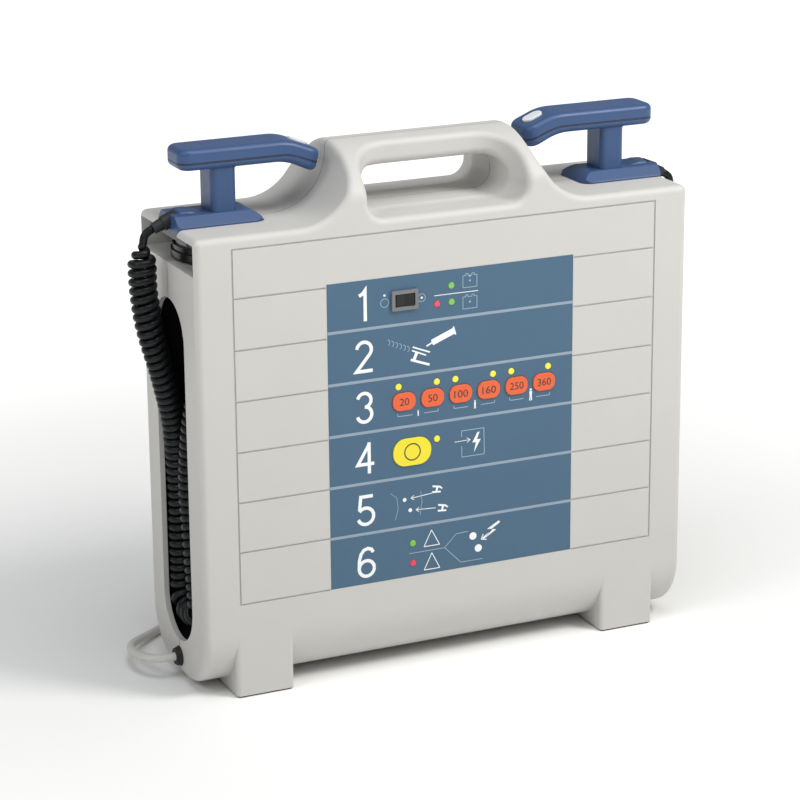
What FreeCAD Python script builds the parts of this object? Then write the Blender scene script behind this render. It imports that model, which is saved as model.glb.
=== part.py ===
"""Portable defibrillator with two slide-in paddles.

Frame: +X to the operator's right, +Y away from the operator, +Z up, in millimetres.
The origin is on the floor, below the middle of the case.
The case is two moulded shells that meet at a seam plane; every depth is measured from that seam.
"""
import FreeCAD
import Part
import Sketcher
import math
import os
import re

V = FreeCAD.Vector

SIZES = {
    # case
    "case_width": 396, "case_depth": 114, "case_top": 349, "belly_height": 4, "seam": 1.3, "wall": 4,
    "belly_round": 44, "edge_round": 5,
    # hump with the carry handle
    "hump_top": 399, "hump_half": 74, "flank_round": 43, "crown_round": 68, "brow_round": 14,
    "opening_half": 64, "opening_floor": 349.5, "bar_underside": 379.5, "bar_half_depth": 17,
    "trough_round": 30, "trough_floor_round": 13, "bar_edge": 6,
    "hole_half": 60, "hole_low": 351, "hole_round": 13,
    # feet
    "foot_inner": 129, "foot_outer": 174, "foot_height": 50, "foot_round": 3, "pad_thick": 1.2, "pad_inset": 2,
    # paddle bays in the top of both ends
    "bay_inner": 108, "bay_floor": 322, "bay_roof": 344.5, "bay_half": 53, "mouth_half": 22.1,
    "mouth_inner": 128.4,
    "mouth_round": 8.5,
    "contact_half": 34, "contact_thick": 0.5,
    # cable recesses in both ends
    "slot_half": 30, "slot_low": 31, "slot_high": 295, "slot_round": 29.9,
    "liner_inner": 156, "liner_half": 42, "liner_low": 27, "liner_high": 306, "liner_wall": 2,
    "liner_round": 18,
    # front face
    "groove_pitch": 38.1, "groove_top": 339.8, "groove_first": 303.8, "groove_last": 73.2,
    "groove_wide": 1.2, "groove_deep": 0.8, "groove_reach": 170,
    "overlay_left": -98.3, "overlay_right": 101.1, "overlay_low": 73.2, "overlay_high": 306.2,
    "overlay_deep": 0.5, "overlay_thick": 0.6,
    # keys, lamps and power switch
    "key_first": -38.2, "key_pitch": 23.06, "key_height": 210.8, "key_wide": 18.4, "key_tall": 13.6,
    "key_round": 6, "key_proud": 1.2, "key_play": 0.2, "key_flange": 1.4,
    "charge_x": -32, "charge_z": 171.4, "charge_wide": 30.8, "charge_tall": 21.2, "charge_round": 10,
    "lamp_radius": 2.5, "lamp_play": 0.05, "lamp_proud": 0.6,
    "switch_x": -37.2, "switch_z": 288, "switch_wide": 21, "switch_tall": 15, "switch_proud": 2,
    "switch_body_wide": 19, "switch_body_tall": 12.8, "switch_body_deep": 14,
    "rocker_wide": 13.6, "rocker_tall": 9, "rocker_pin": 1, "rocker_room": 1.1,
    "board_gap": 7, "board_thick": 1.6,
    # screws of the case
    "boss_front": 5, "boss_rear": 6, "screw_radius": 1.5, "screw_head": 3.5, "head_thick": 2.5,
    "pilot_radius": 1.54, "through_radius": 1.7, "counterbore_radius": 4, "shoulder_depth": 8,
    "screw_bite": 14,
    # paddles
    "grip_outer": 191.5, "grip_inner": 82, "grip_bend": 107, "bend_round": 40, "grip_top": 404.6,
    "grip_under": 389,
    "grip_half": 17, "grip_droop": 22, "grip_parting": 394.4, "grip_edge": 4.5, "grip_end_round": 9,
    "post_x": 157.5, "post_wide": 19.2, "post_deep": 27, "post_round": 4.5, "post_low": 357, "post_flare": 2,
    "button_x": 95.5, "button_long": 16, "button_wide": 11, "button_proud": 1.6, "button_travel": 1.2,
    "button_deep": 6.5, "button_play": 0.15,
    "cover_inner": 129, "cover_outer": 196, "cover_half": 21.5, "cover_side": 350, "cover_edge": 3,
    "cover_dome": 12.5, "cover_corner": 8, "ridge_round": 1.4, "tip_deeper": 2.5,
    "carrier_inner": 112, "carrier_outer": 193, "carrier_half": 42, "carrier_low": 338, "carrier_high": 344,
    "electrode_x": 152.5, "neck_radius": 36, "neck_low": 333, "rim_radius": 40, "rim_step": 329,
    "rim_upper_radius": 38.5, "rim_low": 323.5, "plate_radius": 37, "plate_low": 322.6,
    "boot_radius": 5, "boot_length": 15, "boot_x": 194, "boot_z": 352.4, "boot_slope": 22,
    # curly cords
    "coil_radius": 10.5, "wire_radius": 3,
    # mains lead
    "mains_radius": 3.25, "gland_height": 17.5, "gland_radius": 7.75, "gland_hole": 6.5, "gland_proud": 4,
    "gland_tail": 20, "coil_x": -110, "coil_y": 103.4, "coil_inner": 26, "coil_outer": 45.5, "coil_tall": 17.8,
    "plug_radius": 19, "plug_length": 58, "pin_radius": 2.4, "pin_reach": 19, "pin_spacing": 19,
}
ENERGY_STEPS = (20, 50, 100, 160, 250, 360)
FRONT = "(seam - case_depth / 2)"
REAR = "(seam + case_depth / 2)"
INSIDE_FRONT = "(seam - case_depth / 2 + wall)"
INSIDE_REAR = "(seam + case_depth / 2 - wall)"
BOARD_FRONT = "(seam - case_depth / 2 + wall + board_gap)"

doc = FreeCAD.newDocument("defibrillator")
sheet = doc.addObject("Spreadsheet::Sheet", "sizes")
for row, (alias, value) in enumerate(SIZES.items(), start=1):
    sheet.set("A%d" % row, alias)
    sheet.set("B%d" % row, str(value))
    sheet.setAlias("B%d" % row, alias)
workings = doc.addObject("Spreadsheet::Sheet", "workings")
doc.recompute()
subparts = []


# ---------------------------------------------------------------- helpers

def in_sheet(formula):
    """The formula with each alias of the sheet named in full."""
    def full_name(match):
        word = match.group(0)
        return "sizes." + word if word in SIZES else word
    return re.sub(r"[a-z][a-z_]*", full_name, formula)


def number(formula):
    """What a formula comes to, in millimetres."""
    workings.set("A1", "=" + in_sheet(formula))
    workings.recompute()
    return float(workings.get("A1"))


def bind(thing, prop, formula):
    thing.setExpression(prop, in_sheet(formula))


def subpart(thing):
    """Marks an object as one finished piece; its label names its file."""
    subparts.append(thing)
    return thing


def middle(edge):
    return edge.valueAt((edge.FirstParameter + edge.LastParameter) / 2)


def runs_along(edge, axis):
    """True for a straight edge parallel to x, y or z."""
    if edge.Degenerated or edge.Curve.TypeId != "Part::GeomLine":
        return False
    along = edge.tangentAt(edge.FirstParameter)
    return abs(getattr(along, axis)) > 0.9999


def near(value, target, slack=0.05):
    return abs(value - target) < slack


def block(label, x_range, y_range, z_range):
    box = doc.addObject("Part::Box", label)
    for prop, axis, (low, high) in (("Length", "x", x_range), ("Width", "y", y_range),
                                    ("Height", "z", z_range)):
        bind(box, prop, "(%s) - (%s)" % (high, low))
        bind(box, "Placement.Base." + axis, low)
    doc.recompute()
    return box


def rod(label, axis, centre, radius, start, length):
    """Cylinder along an axis; centre gives its place across that axis, in the order x, y, z."""
    cylinder = doc.addObject("Part::Cylinder", label)
    direction = {"x": V(1, 0, 0), "y": V(0, 1, 0), "z": V(0, 0, 1)}[axis]
    cylinder.Placement = FreeCAD.Placement(V(0, 0, 0), FreeCAD.Rotation(V(0, 0, 1), direction))
    bind(cylinder, "Radius", radius)
    bind(cylinder, "Height", length)
    places = dict(zip([name for name in "xyz" if name != axis], centre))
    places[axis] = start
    for name, formula in places.items():
        bind(cylinder, "Placement.Base." + name, formula)
    doc.recompute()
    return cylinder


def joined(kind, label, shapes):
    result = doc.addObject(kind, label)
    if kind in ("Part::MultiFuse", "Part::MultiCommon"):
        result.Shapes = shapes
    else:
        result.Base, result.Tool = shapes
    result.Refine = True
    doc.recompute()
    return result


def fuse(label, *shapes):
    return joined("Part::MultiFuse", label, list(shapes))


def common(label, first, second):
    return joined("Part::MultiCommon", label, [first, second])


def cut(label, base, *tools):
    tool = tools[0] if len(tools) == 1 else fuse(label + "_tools", *tools)
    return joined("Part::Cut", label, (base, tool))


def rounded(label, base, radius, test):
    """Part fillet of one radius on every edge that passes the test."""
    fillet = doc.addObject("Part::Fillet", label)
    fillet.Base = base
    size = number(radius)
    fillet.Edges = [(place, size, size) for place, edge in enumerate(base.Shape.Edges, 1)
                    if not edge.Degenerated and test(edge)]
    doc.recompute()
    return fillet


def group(label, shapes):
    compound = doc.addObject("Part::Compound", label)
    compound.Links = list(shapes)
    doc.recompute()
    return compound


def mirrored(label, source):
    """The same piece on the other side of the middle."""
    mirror = doc.addObject("Part::Mirroring", label)
    mirror.Source = source
    mirror.Normal = V(1, 0, 0)
    doc.recompute()
    return mirror


def outline_sketch(body, label, plane, outline, offset):
    """Closed outline of straight sides; every corner is held to the origin by two bound distances."""
    sketch = body.newObject("Sketcher::SketchObject", label)
    role = {"xy": "XY_Plane", "xz": "XZ_Plane", "yz": "YZ_Plane"}[plane]
    origin_plane = [part for part in body.Origin.OriginFeatures if part.Role == role][0]
    sketch.AttachmentSupport = (origin_plane, [""])
    sketch.MapMode = "FlatFace"
    bind(sketch, "AttachmentOffset.Base.z", offset)
    corners = [(number(across), number(up)) for across, up in outline]
    count = len(corners)
    for here in range(count):
        start, end = corners[here], corners[(here + 1) % count]
        sketch.addGeometry(Part.LineSegment(V(start[0], start[1], 0), V(end[0], end[1], 0)), False)
    for here in range(count):
        sketch.addConstraint(Sketcher.Constraint("Coincident", here, 2, (here + 1) % count, 1))
    for here in range(count):
        for kind, value, formula in zip(("DistanceX", "DistanceY"), corners[here], outline[here]):
            held = sketch.addConstraint(Sketcher.Constraint(kind, -1, 1, here, 1, value))
            bind(sketch, "Constraints[%d]" % held, formula)
    doc.recompute()
    return sketch


def prism(label, plane, outline, start, end, rounds=()):
    """Body: an outline on an origin plane, padded from start to end along +x, +y or +z, then rounded.

    Each round is a radius and a test that picks its edges.
    """
    body = doc.addObject("PartDesign::Body", label)
    towards_minus_y = plane == "xz"
    offset = "-(%s)" % start if towards_minus_y else start
    sketch = outline_sketch(body, label + "_outline", plane, outline, offset)
    feature = body.newObject("PartDesign::Pad", label + "_pad")
    feature.Profile = sketch
    bind(feature, "Length", "(%s) - (%s)" % (end, start))
    feature.Reversed = towards_minus_y
    doc.recompute()
    for radius, test in rounds:
        names = ["Edge%d" % place for place, edge in enumerate(feature.Shape.Edges, 1) if test(edge)]
        fillet = body.newObject("PartDesign::Fillet", label + "_round")
        fillet.Base = (feature, names)
        bind(fillet, "Radius", radius)
        doc.recompute()
        feature = fillet
    body.Tip = feature
    doc.recompute()
    return body


def rectangle(across, up):
    (left, right), (low, high) = across, up
    return [(left, low), (right, low), (right, high), (left, high)]


def upright(edge):
    return runs_along(edge, "z")


def capsule(label, centre_x, centre_z, wide, tall, corner, start, end):
    """Rounded rectangle in the plane of the front face, padded along y."""
    outline = rectangle(("%s - (%s) / 2" % (centre_x, wide), "%s + (%s) / 2" % (centre_x, wide)),
                        ("%s - (%s) / 2" % (centre_z, tall), "%s + (%s) / 2" % (centre_z, tall)))
    return prism(label, "xz", outline, start, end, [(corner, lambda edge: runs_along(edge, "y"))])


def tube(label, points, radius):
    """Solid tube along straight runs joined by tangent arcs, and the length of its middle line.

    Each arc takes 0.45 of its shorter run, so it is as large as its two runs allow.
    """
    edges = []
    last = points[0]
    length = 0.0
    radii = []
    for before, corner, after in zip(points, points[1:], points[2:]):
        inward = (corner - before).normalize()
        outward = (after - corner).normalize()
        half_turn = inward.getAngle(outward) / 2
        set_back = 0.45 * min(corner.distanceToPoint(before), corner.distanceToPoint(after))
        bend = set_back / math.tan(half_turn)
        arc_start = corner - inward * set_back
        arc_end = corner + outward * set_back
        to_centre = (outward - inward).normalize()
        arc_middle = corner + to_centre * (bend / math.cos(half_turn) - bend)
        edges.append(Part.LineSegment(last, arc_start).toShape())
        edges.append(Part.Arc(arc_start, arc_middle, arc_end).toShape())
        length += last.distanceToPoint(arc_start) + 2 * half_turn * bend
        radii.append(bend)
        last = arc_end
    edges.append(Part.LineSegment(last, points[-1]).toShape())
    length += last.distanceToPoint(points[-1])
    path = Part.Wire(edges)
    section = Part.Wire(Part.Circle(points[0], points[1] - points[0], radius).toShape())
    solid = path.makePipeShell([section], True, False)
    expected = math.pi * radius * radius * length
    print("%s: length %.1f, volume / (section x length) %.4f" % (label, length, solid.Volume / expected))
    print("   bend radii " + ", ".join("%.0f" % bend for bend in radii))
    return solid, length


def shape_feature(label, shape):
    feature = doc.addObject("Part::Feature", label)
    feature.Shape = shape
    return feature


# ---------------------------------------------------------------- outer form of the case

def case_form():
    """Case block, hump and feet, with their outer rounds."""
    case = prism("case_block", "yz", rectangle((FRONT, REAR), ("belly_height", "case_top")),
                 "-case_width / 2", "case_width / 2",
                 [("belly_round", lambda edge: runs_along(edge, "x") and middle(edge).z < number("wall * 2"))])
    hump_foot = "(hump_half + flank_round)"
    flank_height = "(case_top + flank_round)"
    hump_block = block("hump_block", ("-" + hump_foot, hump_foot), (FRONT, REAR),
                       ("case_top - wall * 6", "hump_top"))
    trims = []
    for side, sign in (("left", "-"), ("right", "")):
        trims.append(rod("flank_" + side, "y", (sign + hump_foot, flank_height), "flank_round",
                         FRONT + " - wall", "case_depth + wall * 2"))
        spans = [sign + "hump_half", sign + hump_foot]
        if sign:
            spans.reverse()
        trims.append(block("shoulder_" + side, spans, (FRONT + " - wall", REAR + " + wall"),
                           (flank_height, "hump_top + wall")))
    crown = rod("crown", "x", ("seam", "hump_top - crown_round"), "crown_round",
                "-" + hump_foot, "2 * " + hump_foot)
    hump = common("hump", cut("hump_outline", hump_block, *trims), crown)
    form = fuse("case_and_hump", case, hump)
    half_depth = number("case_depth / 2")
    seam = number("seam")
    brow_height = number("hump_top - crown_round + sqrt(crown_round ^ 2 - (case_depth / 2) ^ 2)")
    browed = rounded("browed_form", form, "brow_round",
                     lambda edge: runs_along(edge, "x") and near(middle(edge).z, brow_height, 1))
    case_top = number("case_top")
    case_half = number("case_width / 2")

    def end_edge(edge):
        return edge.BoundBox.XLength < 0.001 and near(abs(middle(edge).x), case_half)

    def top_edge(edge):
        spot = middle(edge)
        on_face = near(abs(spot.y - seam), half_depth)
        return on_face and spot.z > case_top - 0.1 and not (runs_along(edge, "x") and spot.z > case_top + 1)

    def hump_edge(edge):
        spot = middle(edge)
        beside = number("hump_half") - 1 < abs(spot.x) < number("hump_half + wall * 3")
        straight = runs_along(edge, "x") or runs_along(edge, "y")
        return beside and spot.z > case_top + 10 and not straight and not top_edge(edge)

    soft = rounded("soft_form", browed, "edge_round",
                   lambda edge: end_edge(edge) or top_edge(edge) or hump_edge(edge))
    feet = []
    for side, span in (("left", ("-foot_outer", "-foot_inner")), ("right", ("foot_inner", "foot_outer"))):
        feet.append(prism("foot_" + side, "xy", rectangle(span, (FRONT, REAR)), "pad_thick", "foot_height",
                          [("foot_round", upright)]))
    return fuse("outer_form", soft, *feet)


def handle_opening():
    """Space taken out of the hump: a trough in front and behind, and the hand hole under the bar."""
    troughs = []
    for side, near_face, far_face in (("front", "seam - case_depth", "seam - bar_half_depth"),
                                      ("rear", "seam + bar_half_depth", "seam + case_depth")):
        bar_face = number(far_face if side == "front" else near_face)
        outline = rectangle(("-opening_half", "opening_half"), (near_face, far_face))
        far_away = number("case_depth") - 1
        troughs.append(prism(
            "trough_" + side, "xy", outline, "opening_floor", "hump_top + wall * 4",
            [("trough_round", lambda edge, face=bar_face: upright(edge) and near(middle(edge).y, face)),
             ("trough_floor_round", lambda edge: near(middle(edge).z, number("opening_floor"), 0.01)
              and abs(middle(edge).y - number("seam")) < far_away)]))
    hole = prism("hand_hole", "xz", rectangle(("-hole_half", "hole_half"), ("hole_low", "bar_underside")),
                 FRONT, REAR, [("hole_round", lambda edge: runs_along(edge, "y"))])
    return fuse("handle_space", hole, *troughs)


def case_hollow():
    main = prism("main_cavity", "yz", rectangle((INSIDE_FRONT, INSIDE_REAR),
                                                ("belly_height + wall", "bay_floor - wall")),
                 "-case_width / 2 + wall", "case_width / 2 - wall",
                 [("belly_round - wall", lambda edge: runs_along(edge,
                                                                 "x") and middle(edge).z < number("wall * 3"))])
    under_hump = block("hump_cavity", ("-bay_inner + wall", "bay_inner - wall"), (INSIDE_FRONT, INSIDE_REAR),
                       ("bay_floor - wall * 2", "case_top - wall"))
    return fuse("case_cavity", main, under_hump)


def end_spaces():
    """Paddle bays, their mouths and the cable slots, for both ends."""
    bay = block("bay_right", ("bay_inner", "case_width / 2 + wall"), ("seam - bay_half", "seam + bay_half"),
                ("bay_floor", "bay_roof"))
    mouth_end = number("mouth_inner")
    mouth = prism("mouth_right", "xy",
                  rectangle(("mouth_inner", "case_width / 2 + wall"),
                            ("seam - mouth_half", "seam + mouth_half")),
                  "bay_roof - wall", "case_top + wall",
                  [("mouth_round", lambda edge: upright(edge) and near(middle(edge).x, mouth_end))])
    slot = prism("slot_right", "yz", rectangle(("seam - slot_half", "seam + slot_half"),
                                               ("slot_low", "slot_high")),
                 "case_width / 2 - wall * 2", "case_width / 2 + wall",
                 [("slot_round", lambda edge: runs_along(edge, "x"))])
    right = fuse("end_space_right", bay, mouth, slot)
    return right, mirrored("end_space_left", right)


SCREW_PLACES = [("-146", "30"), ("146", "30"), ("-146", "170"), ("146", "170"),
                ("-146", "304"), ("146", "304"), ("-86", "333"), ("86", "333")]
BOARD_POSTS = [("-56", "84"), ("92", "84"), ("-56", "296"), ("92", "296")]
MAIN_BOARD_POSTS = [("-120", "50"), ("120", "50"), ("-120", "296"), ("120", "296")]
CHASSIS_POSTS = [("-126", "50"), ("126", "50"), ("-126", "300"), ("126", "300")]


def rows_of_rods(label, places, radius, start, length):
    return [rod("%s_%d" % (label, place), "y", centre, radius, start, length)
            for place, centre in enumerate(places, 1)]


def case_shells():
    form = case_form()
    space = handle_opening()
    open_form = cut("open_form", form, space)
    half = number("opening_half")
    bar = number("bar_half_depth")
    seam = number("seam")

    depth = number("case_depth / 2")
    floor = number("opening_floor")
    underside = number("bar_underside")
    hole_half = number("hole_half")
    hole_low = number("hole_low")

    def outer_rim(edge):
        """Where the troughs meet the outside of the hump, and the two top edges of the bar."""
        spot = middle(edge)
        inside = abs(spot.x) <= half + 0.1 and spot.z > floor - 0.1
        on_outside = near(abs(spot.y - seam), depth, 4) or spot.z > underside + 1
        level = runs_along(edge, "y") or upright(edge)
        return inside and on_outside and not level and abs(spot.y - seam) > bar - 0.1

    def hole_rim(edge):
        """The closed loop where the hand hole comes out in each trough."""
        around = edge.BoundBox
        across = max(-around.XMin, around.XMax) < hole_half + 0.1
        upward = around.ZMin > hole_low - 0.1 and around.ZMax < underside + 0.1
        between = bar - 1 < abs(middle(edge).y - seam) < depth - 1
        return across and upward and between and not runs_along(edge, "y")

    rimmed = rounded("rimmed_form", open_form, "edge_round", outer_rim)
    soft_rim = rounded("soft_rim", rimmed, "bar_edge", hole_rim)
    bosses = rows_of_rods("front_boss", SCREW_PLACES, "boss_front", "seam - case_depth / 2 + wall - 1",
                          "case_depth / 2 - wall + 1")
    bosses += rows_of_rods("rear_boss", SCREW_PLACES, "boss_rear", "seam", "case_depth / 2 - wall + 1")
    hollowed = cut("hollow_form", soft_rim, case_hollow())
    bossed = fuse("bossed_form", hollowed, fuse("bosses", *bosses))
    holes = rows_of_rods("pilot", SCREW_PLACES, "pilot_radius", "seam - screw_bite - 1", "screw_bite + 1")
    holes += rows_of_rods("through", SCREW_PLACES, "through_radius", "seam", "shoulder_depth + 1")
    holes += rows_of_rods("counterbore", SCREW_PLACES, "counterbore_radius", "seam + shoulder_depth",
                          "case_depth / 2")
    gland_hole = rod("gland_bore", "x", ("seam", "gland_height"), "gland_hole + 0.02",
                     "-case_width / 2 - wall", "wall * 3")
    case = cut("whole_case", bossed, gland_hole, *end_spaces(), *holes)
    reach = ("-case_width", "case_width")
    front_half = block("front_half", reach, ("seam - case_depth", "seam"), ("-wall", "hump_top + wall"))
    rear_half = block("rear_half", reach, ("seam", "seam + case_depth"), ("-wall", "hump_top + wall"))
    front = common("front_half_case", case, front_half)
    rear = common("rear_half_case", case, rear_half)
    front_posts = rows_of_rods("keypad_post", BOARD_POSTS, "wall - 1", INSIDE_FRONT + " - 1", "board_gap + 1")
    front_posts += rows_of_rods("board_post", MAIN_BOARD_POSTS, "wall", INSIDE_FRONT + " - 1", "wall * 5")
    front = fuse("front_with_posts", front, *front_posts)
    rear_posts = rows_of_rods("chassis_post", CHASSIS_POSTS, "wall", INSIDE_REAR + " - wall - 1", "wall + 2")
    subpart(fuse("rear_shell", rear, *rear_posts))
    subpart(cut("front_shell", front, *front_face_cuts()))


# ---------------------------------------------------------------- front face

def groove(label, x_range, z_range):
    return block(label, x_range, (FRONT + " - 1", FRONT + " + groove_deep"), z_range)


def groove_height(row):
    """Height of a level groove; the top and bottom ones are set apart from the even pitch of the rest."""
    if row == 0:
        return "groove_top"
    if row == 7:
        return "groove_last"
    return "(groove_first - %d * groove_pitch)" % (row - 1)


def groove_row(row):
    """One level groove: whole across the top, else stopped at the overlay."""
    height = groove_height(row)
    across = ("%s - groove_wide / 2" % height, "%s + groove_wide / 2" % height)
    if row == 0:
        return [groove("groove_top_row", ("-groove_reach", "groove_reach"), across)]
    return [groove("groove_left_%d" % row, ("-groove_reach", "overlay_left - 0.7"), across),
            groove("groove_right_%d" % row, ("overlay_right + 0.7", "groove_reach"), across)]


def lamp_places():
    """Every lamp by colour, as x and z."""
    keys = ["(key_first + %d * key_pitch)" % step for step in range(6)]
    offsets = ("- 4.2", "+ 3.7", "- 4.2", "+ 3.7", "- 4.2", "+ 3.5")
    yellow = [("%s %s" % (key, offset), "222.4") for key, offset in zip(keys, offsets)]
    yellow.append(("-11.5", "178.3"))
    green = [("0.6", "294.2"), ("0.8", "281.8"), ("-31.7", "99.2")]
    red = [("-11", "281.7"), ("-31.6", "83.5")]
    return {"green": green, "yellow": yellow, "red": red}


def key_centre(step):
    return "(key_first + %d * key_pitch)" % step


def face_openings(tag, start, end):
    """Holes for the keys, lamps and power switch, through any sheet on the front."""
    openings = [capsule("%s_key_%d" % (tag, step), key_centre(step), "key_height", "key_wide + key_play * 2",
                        "key_tall + key_play * 2", "key_round + key_play", start, end) for step in range(6)]
    openings.append(capsule(tag + "_charge", "charge_x", "charge_z", "charge_wide + key_play * 2",
                            "charge_tall + key_play * 2", "charge_round + key_play", start, end))
    openings.append(block(tag + "_switch", ("switch_x - switch_body_wide / 2 - 0.05",
                                            "switch_x + switch_body_wide / 2 + 0.05"), (start, end),
                          ("switch_z - switch_body_tall / 2 - 0.05",
                           "switch_z + switch_body_tall / 2 + 0.05")))
    for colour, places in lamp_places().items():
        openings += rows_of_rods("%s_%s_lamp" % (tag, colour), places, "lamp_radius + lamp_play", start,
                                 "(%s) - (%s)" % (end, start))
    return openings


def front_face_cuts():
    cuts = []
    for row in range(8):
        cuts += groove_row(row)
    low = "groove_last - groove_wide / 2"
    high = "groove_top + groove_wide / 2"
    for side in ("-", ""):
        centre = side + "groove_reach"
        cuts.append(groove("groove_upright_" + ("left" if side else "right"),
                           (centre + " - groove_wide / 2", centre + " + groove_wide / 2"), (low, high)))
    cuts.append(block("overlay_recess", ("overlay_left", "overlay_right"),
                      (FRONT + " - 1", FRONT + " + overlay_deep"),
                      ("overlay_low", "overlay_high")))
    return cuts + face_openings("shell", FRONT + " - 1", INSIDE_FRONT + " + 1")


def control_overlay():
    sheet_start = FRONT + " + overlay_deep - overlay_thick"
    sheet_end = FRONT + " + overlay_deep"
    plate = block("overlay_sheet", ("overlay_left + 0.05", "overlay_right - 0.05"), (sheet_start, sheet_end),
                  ("overlay_low + 0.05", "overlay_high - 0.05"))
    subpart(cut("control_overlay", plate, *face_openings("overlay", sheet_start + " - 1", sheet_end + " + 1")))


def key(label, centre_x, centre_z, wide, tall, corner):
    """Cap that stands proud of the overlay, with a flange that keeps it behind the front wall."""
    cap = capsule(label + "_cap", centre_x, centre_z, wide, tall, corner, FRONT + " - key_proud",
                  INSIDE_FRONT + " + 0.5")
    soft_cap = rounded(label + "_soft_cap", cap, "key_proud / 3",
                       lambda edge: near(middle(edge).y, number(FRONT + " - key_proud"), 0.01))
    flange = capsule(label + "_flange", centre_x, centre_z, wide + " + key_flange * 2",
                     tall + " + key_flange * 2",
                     corner + " + key_flange", INSIDE_FRONT + " + 0.1", INSIDE_FRONT + " + 1.5")
    subpart(fuse(label, soft_cap, flange))


def keys():
    for step, energy in enumerate(ENERGY_STEPS):
        key("energy_key_%d" % energy, key_centre(step), "key_height", "key_wide", "key_tall", "key_round")
    key("charge_key", "charge_x", "charge_z", "charge_wide", "charge_tall", "charge_round")


def keypad_board():
    """Board behind the keys, with one push switch under each."""
    board = block("keypad_sheet", ("-61", "97"), (BOARD_FRONT, BOARD_FRONT + " + board_thick"), ("79", "301"))
    switch_front = INSIDE_FRONT + " + 2.4"
    switches = [block("push_switch_%d" % step, (key_centre(step) + " - 3", key_centre(step) + " + 3"),
                      (switch_front, BOARD_FRONT), ("key_height - 3", "key_height + 3")) for step in range(6)]
    switches.append(block("push_switch_charge", ("charge_x - 3", "charge_x + 3"), (switch_front, BOARD_FRONT),
                          ("charge_z - 3", "charge_z + 3")))
    board = fuse("keypad_with_switches", board, *switches)
    power_gap = block("keypad_power_gap", ("switch_x - 12", "switch_x + 12"),
                      (BOARD_FRONT + " - 1", BOARD_FRONT + " + 3"), ("switch_z - 8.5", "switch_z + 8.5"))
    subpart(cut("keypad_board", board, power_gap))


def lamps():
    """Five millimetre lamps: a stem through the wall with a domed front, standing on the keypad board."""
    for colour, places in lamp_places().items():
        bulbs = []
        for place, centre in enumerate(places, 1):
            name = "%s_lamp_%d" % (colour, place)
            stem = rod(name + "_stem", "y", centre, "lamp_radius", FRONT + " - lamp_proud",
                       "lamp_proud + wall + board_gap")
            front = number(FRONT + " - lamp_proud")
            bulbs.append(rounded(name, stem, "lamp_proud", lambda edge,
                                 face=front: near(middle(edge).y, face, 0.01)))
        subpart(group("lamps_" + colour, bulbs))


def power_switch():
    face = FRONT + " - switch_proud"
    collar = capsule("switch_collar", "switch_x", "switch_z", "switch_wide", "switch_tall", "1", face,
                     FRONT + " - 0.1")
    body = block("switch_body", ("switch_x - switch_body_wide / 2", "switch_x + switch_body_wide / 2"),
                 (face + " + 0.5", FRONT + " + switch_body_deep"),
                 ("switch_z - switch_body_tall / 2", "switch_z + switch_body_tall / 2"))
    well = block("switch_well", ("switch_x - rocker_wide / 2 - rocker_room",
                                 "switch_x + rocker_wide / 2 + rocker_room"),
                 (face + " - 1", FRONT + " + switch_body_deep - 2"),
                 ("switch_z - rocker_tall / 2 - 0.3", "switch_z + rocker_tall / 2 + 0.3"))
    pin_length = "rocker_tall + 2.6"
    pin_bore = rod("switch_pin_bore", "z", ("switch_x", FRONT + " + 2"), "rocker_pin + 0.05",
                   "switch_z - rocker_tall / 2 - 1.3", pin_length)
    subpart(cut("power_switch_frame", fuse("switch_frame_solid", collar, body), well, pin_bore))
    left, right = "switch_x - rocker_wide / 2", "switch_x + rocker_wide / 2"
    paddle = prism("rocker_body", "xy",
                   [(left, FRONT + " - 1.2"), ("switch_x", FRONT + " - 0.4"), (right, FRONT + " - 2.6"),
                    (right, FRONT + " + 2"), ("switch_x + 3", FRONT + " + 6"),
                    ("switch_x - 3", FRONT + " + 6"),
                    (left, FRONT + " + 4")],
                   "switch_z - rocker_tall / 2", "switch_z + rocker_tall / 2")
    pins = rod("rocker_pins", "z", ("switch_x", FRONT + " + 2"), "rocker_pin",
               "switch_z - rocker_tall / 2 - 1.1", "rocker_tall + 2.2")
    subpart(fuse("power_rocker", paddle, pins))


# ---------------------------------------------------------------- inside the case

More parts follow.
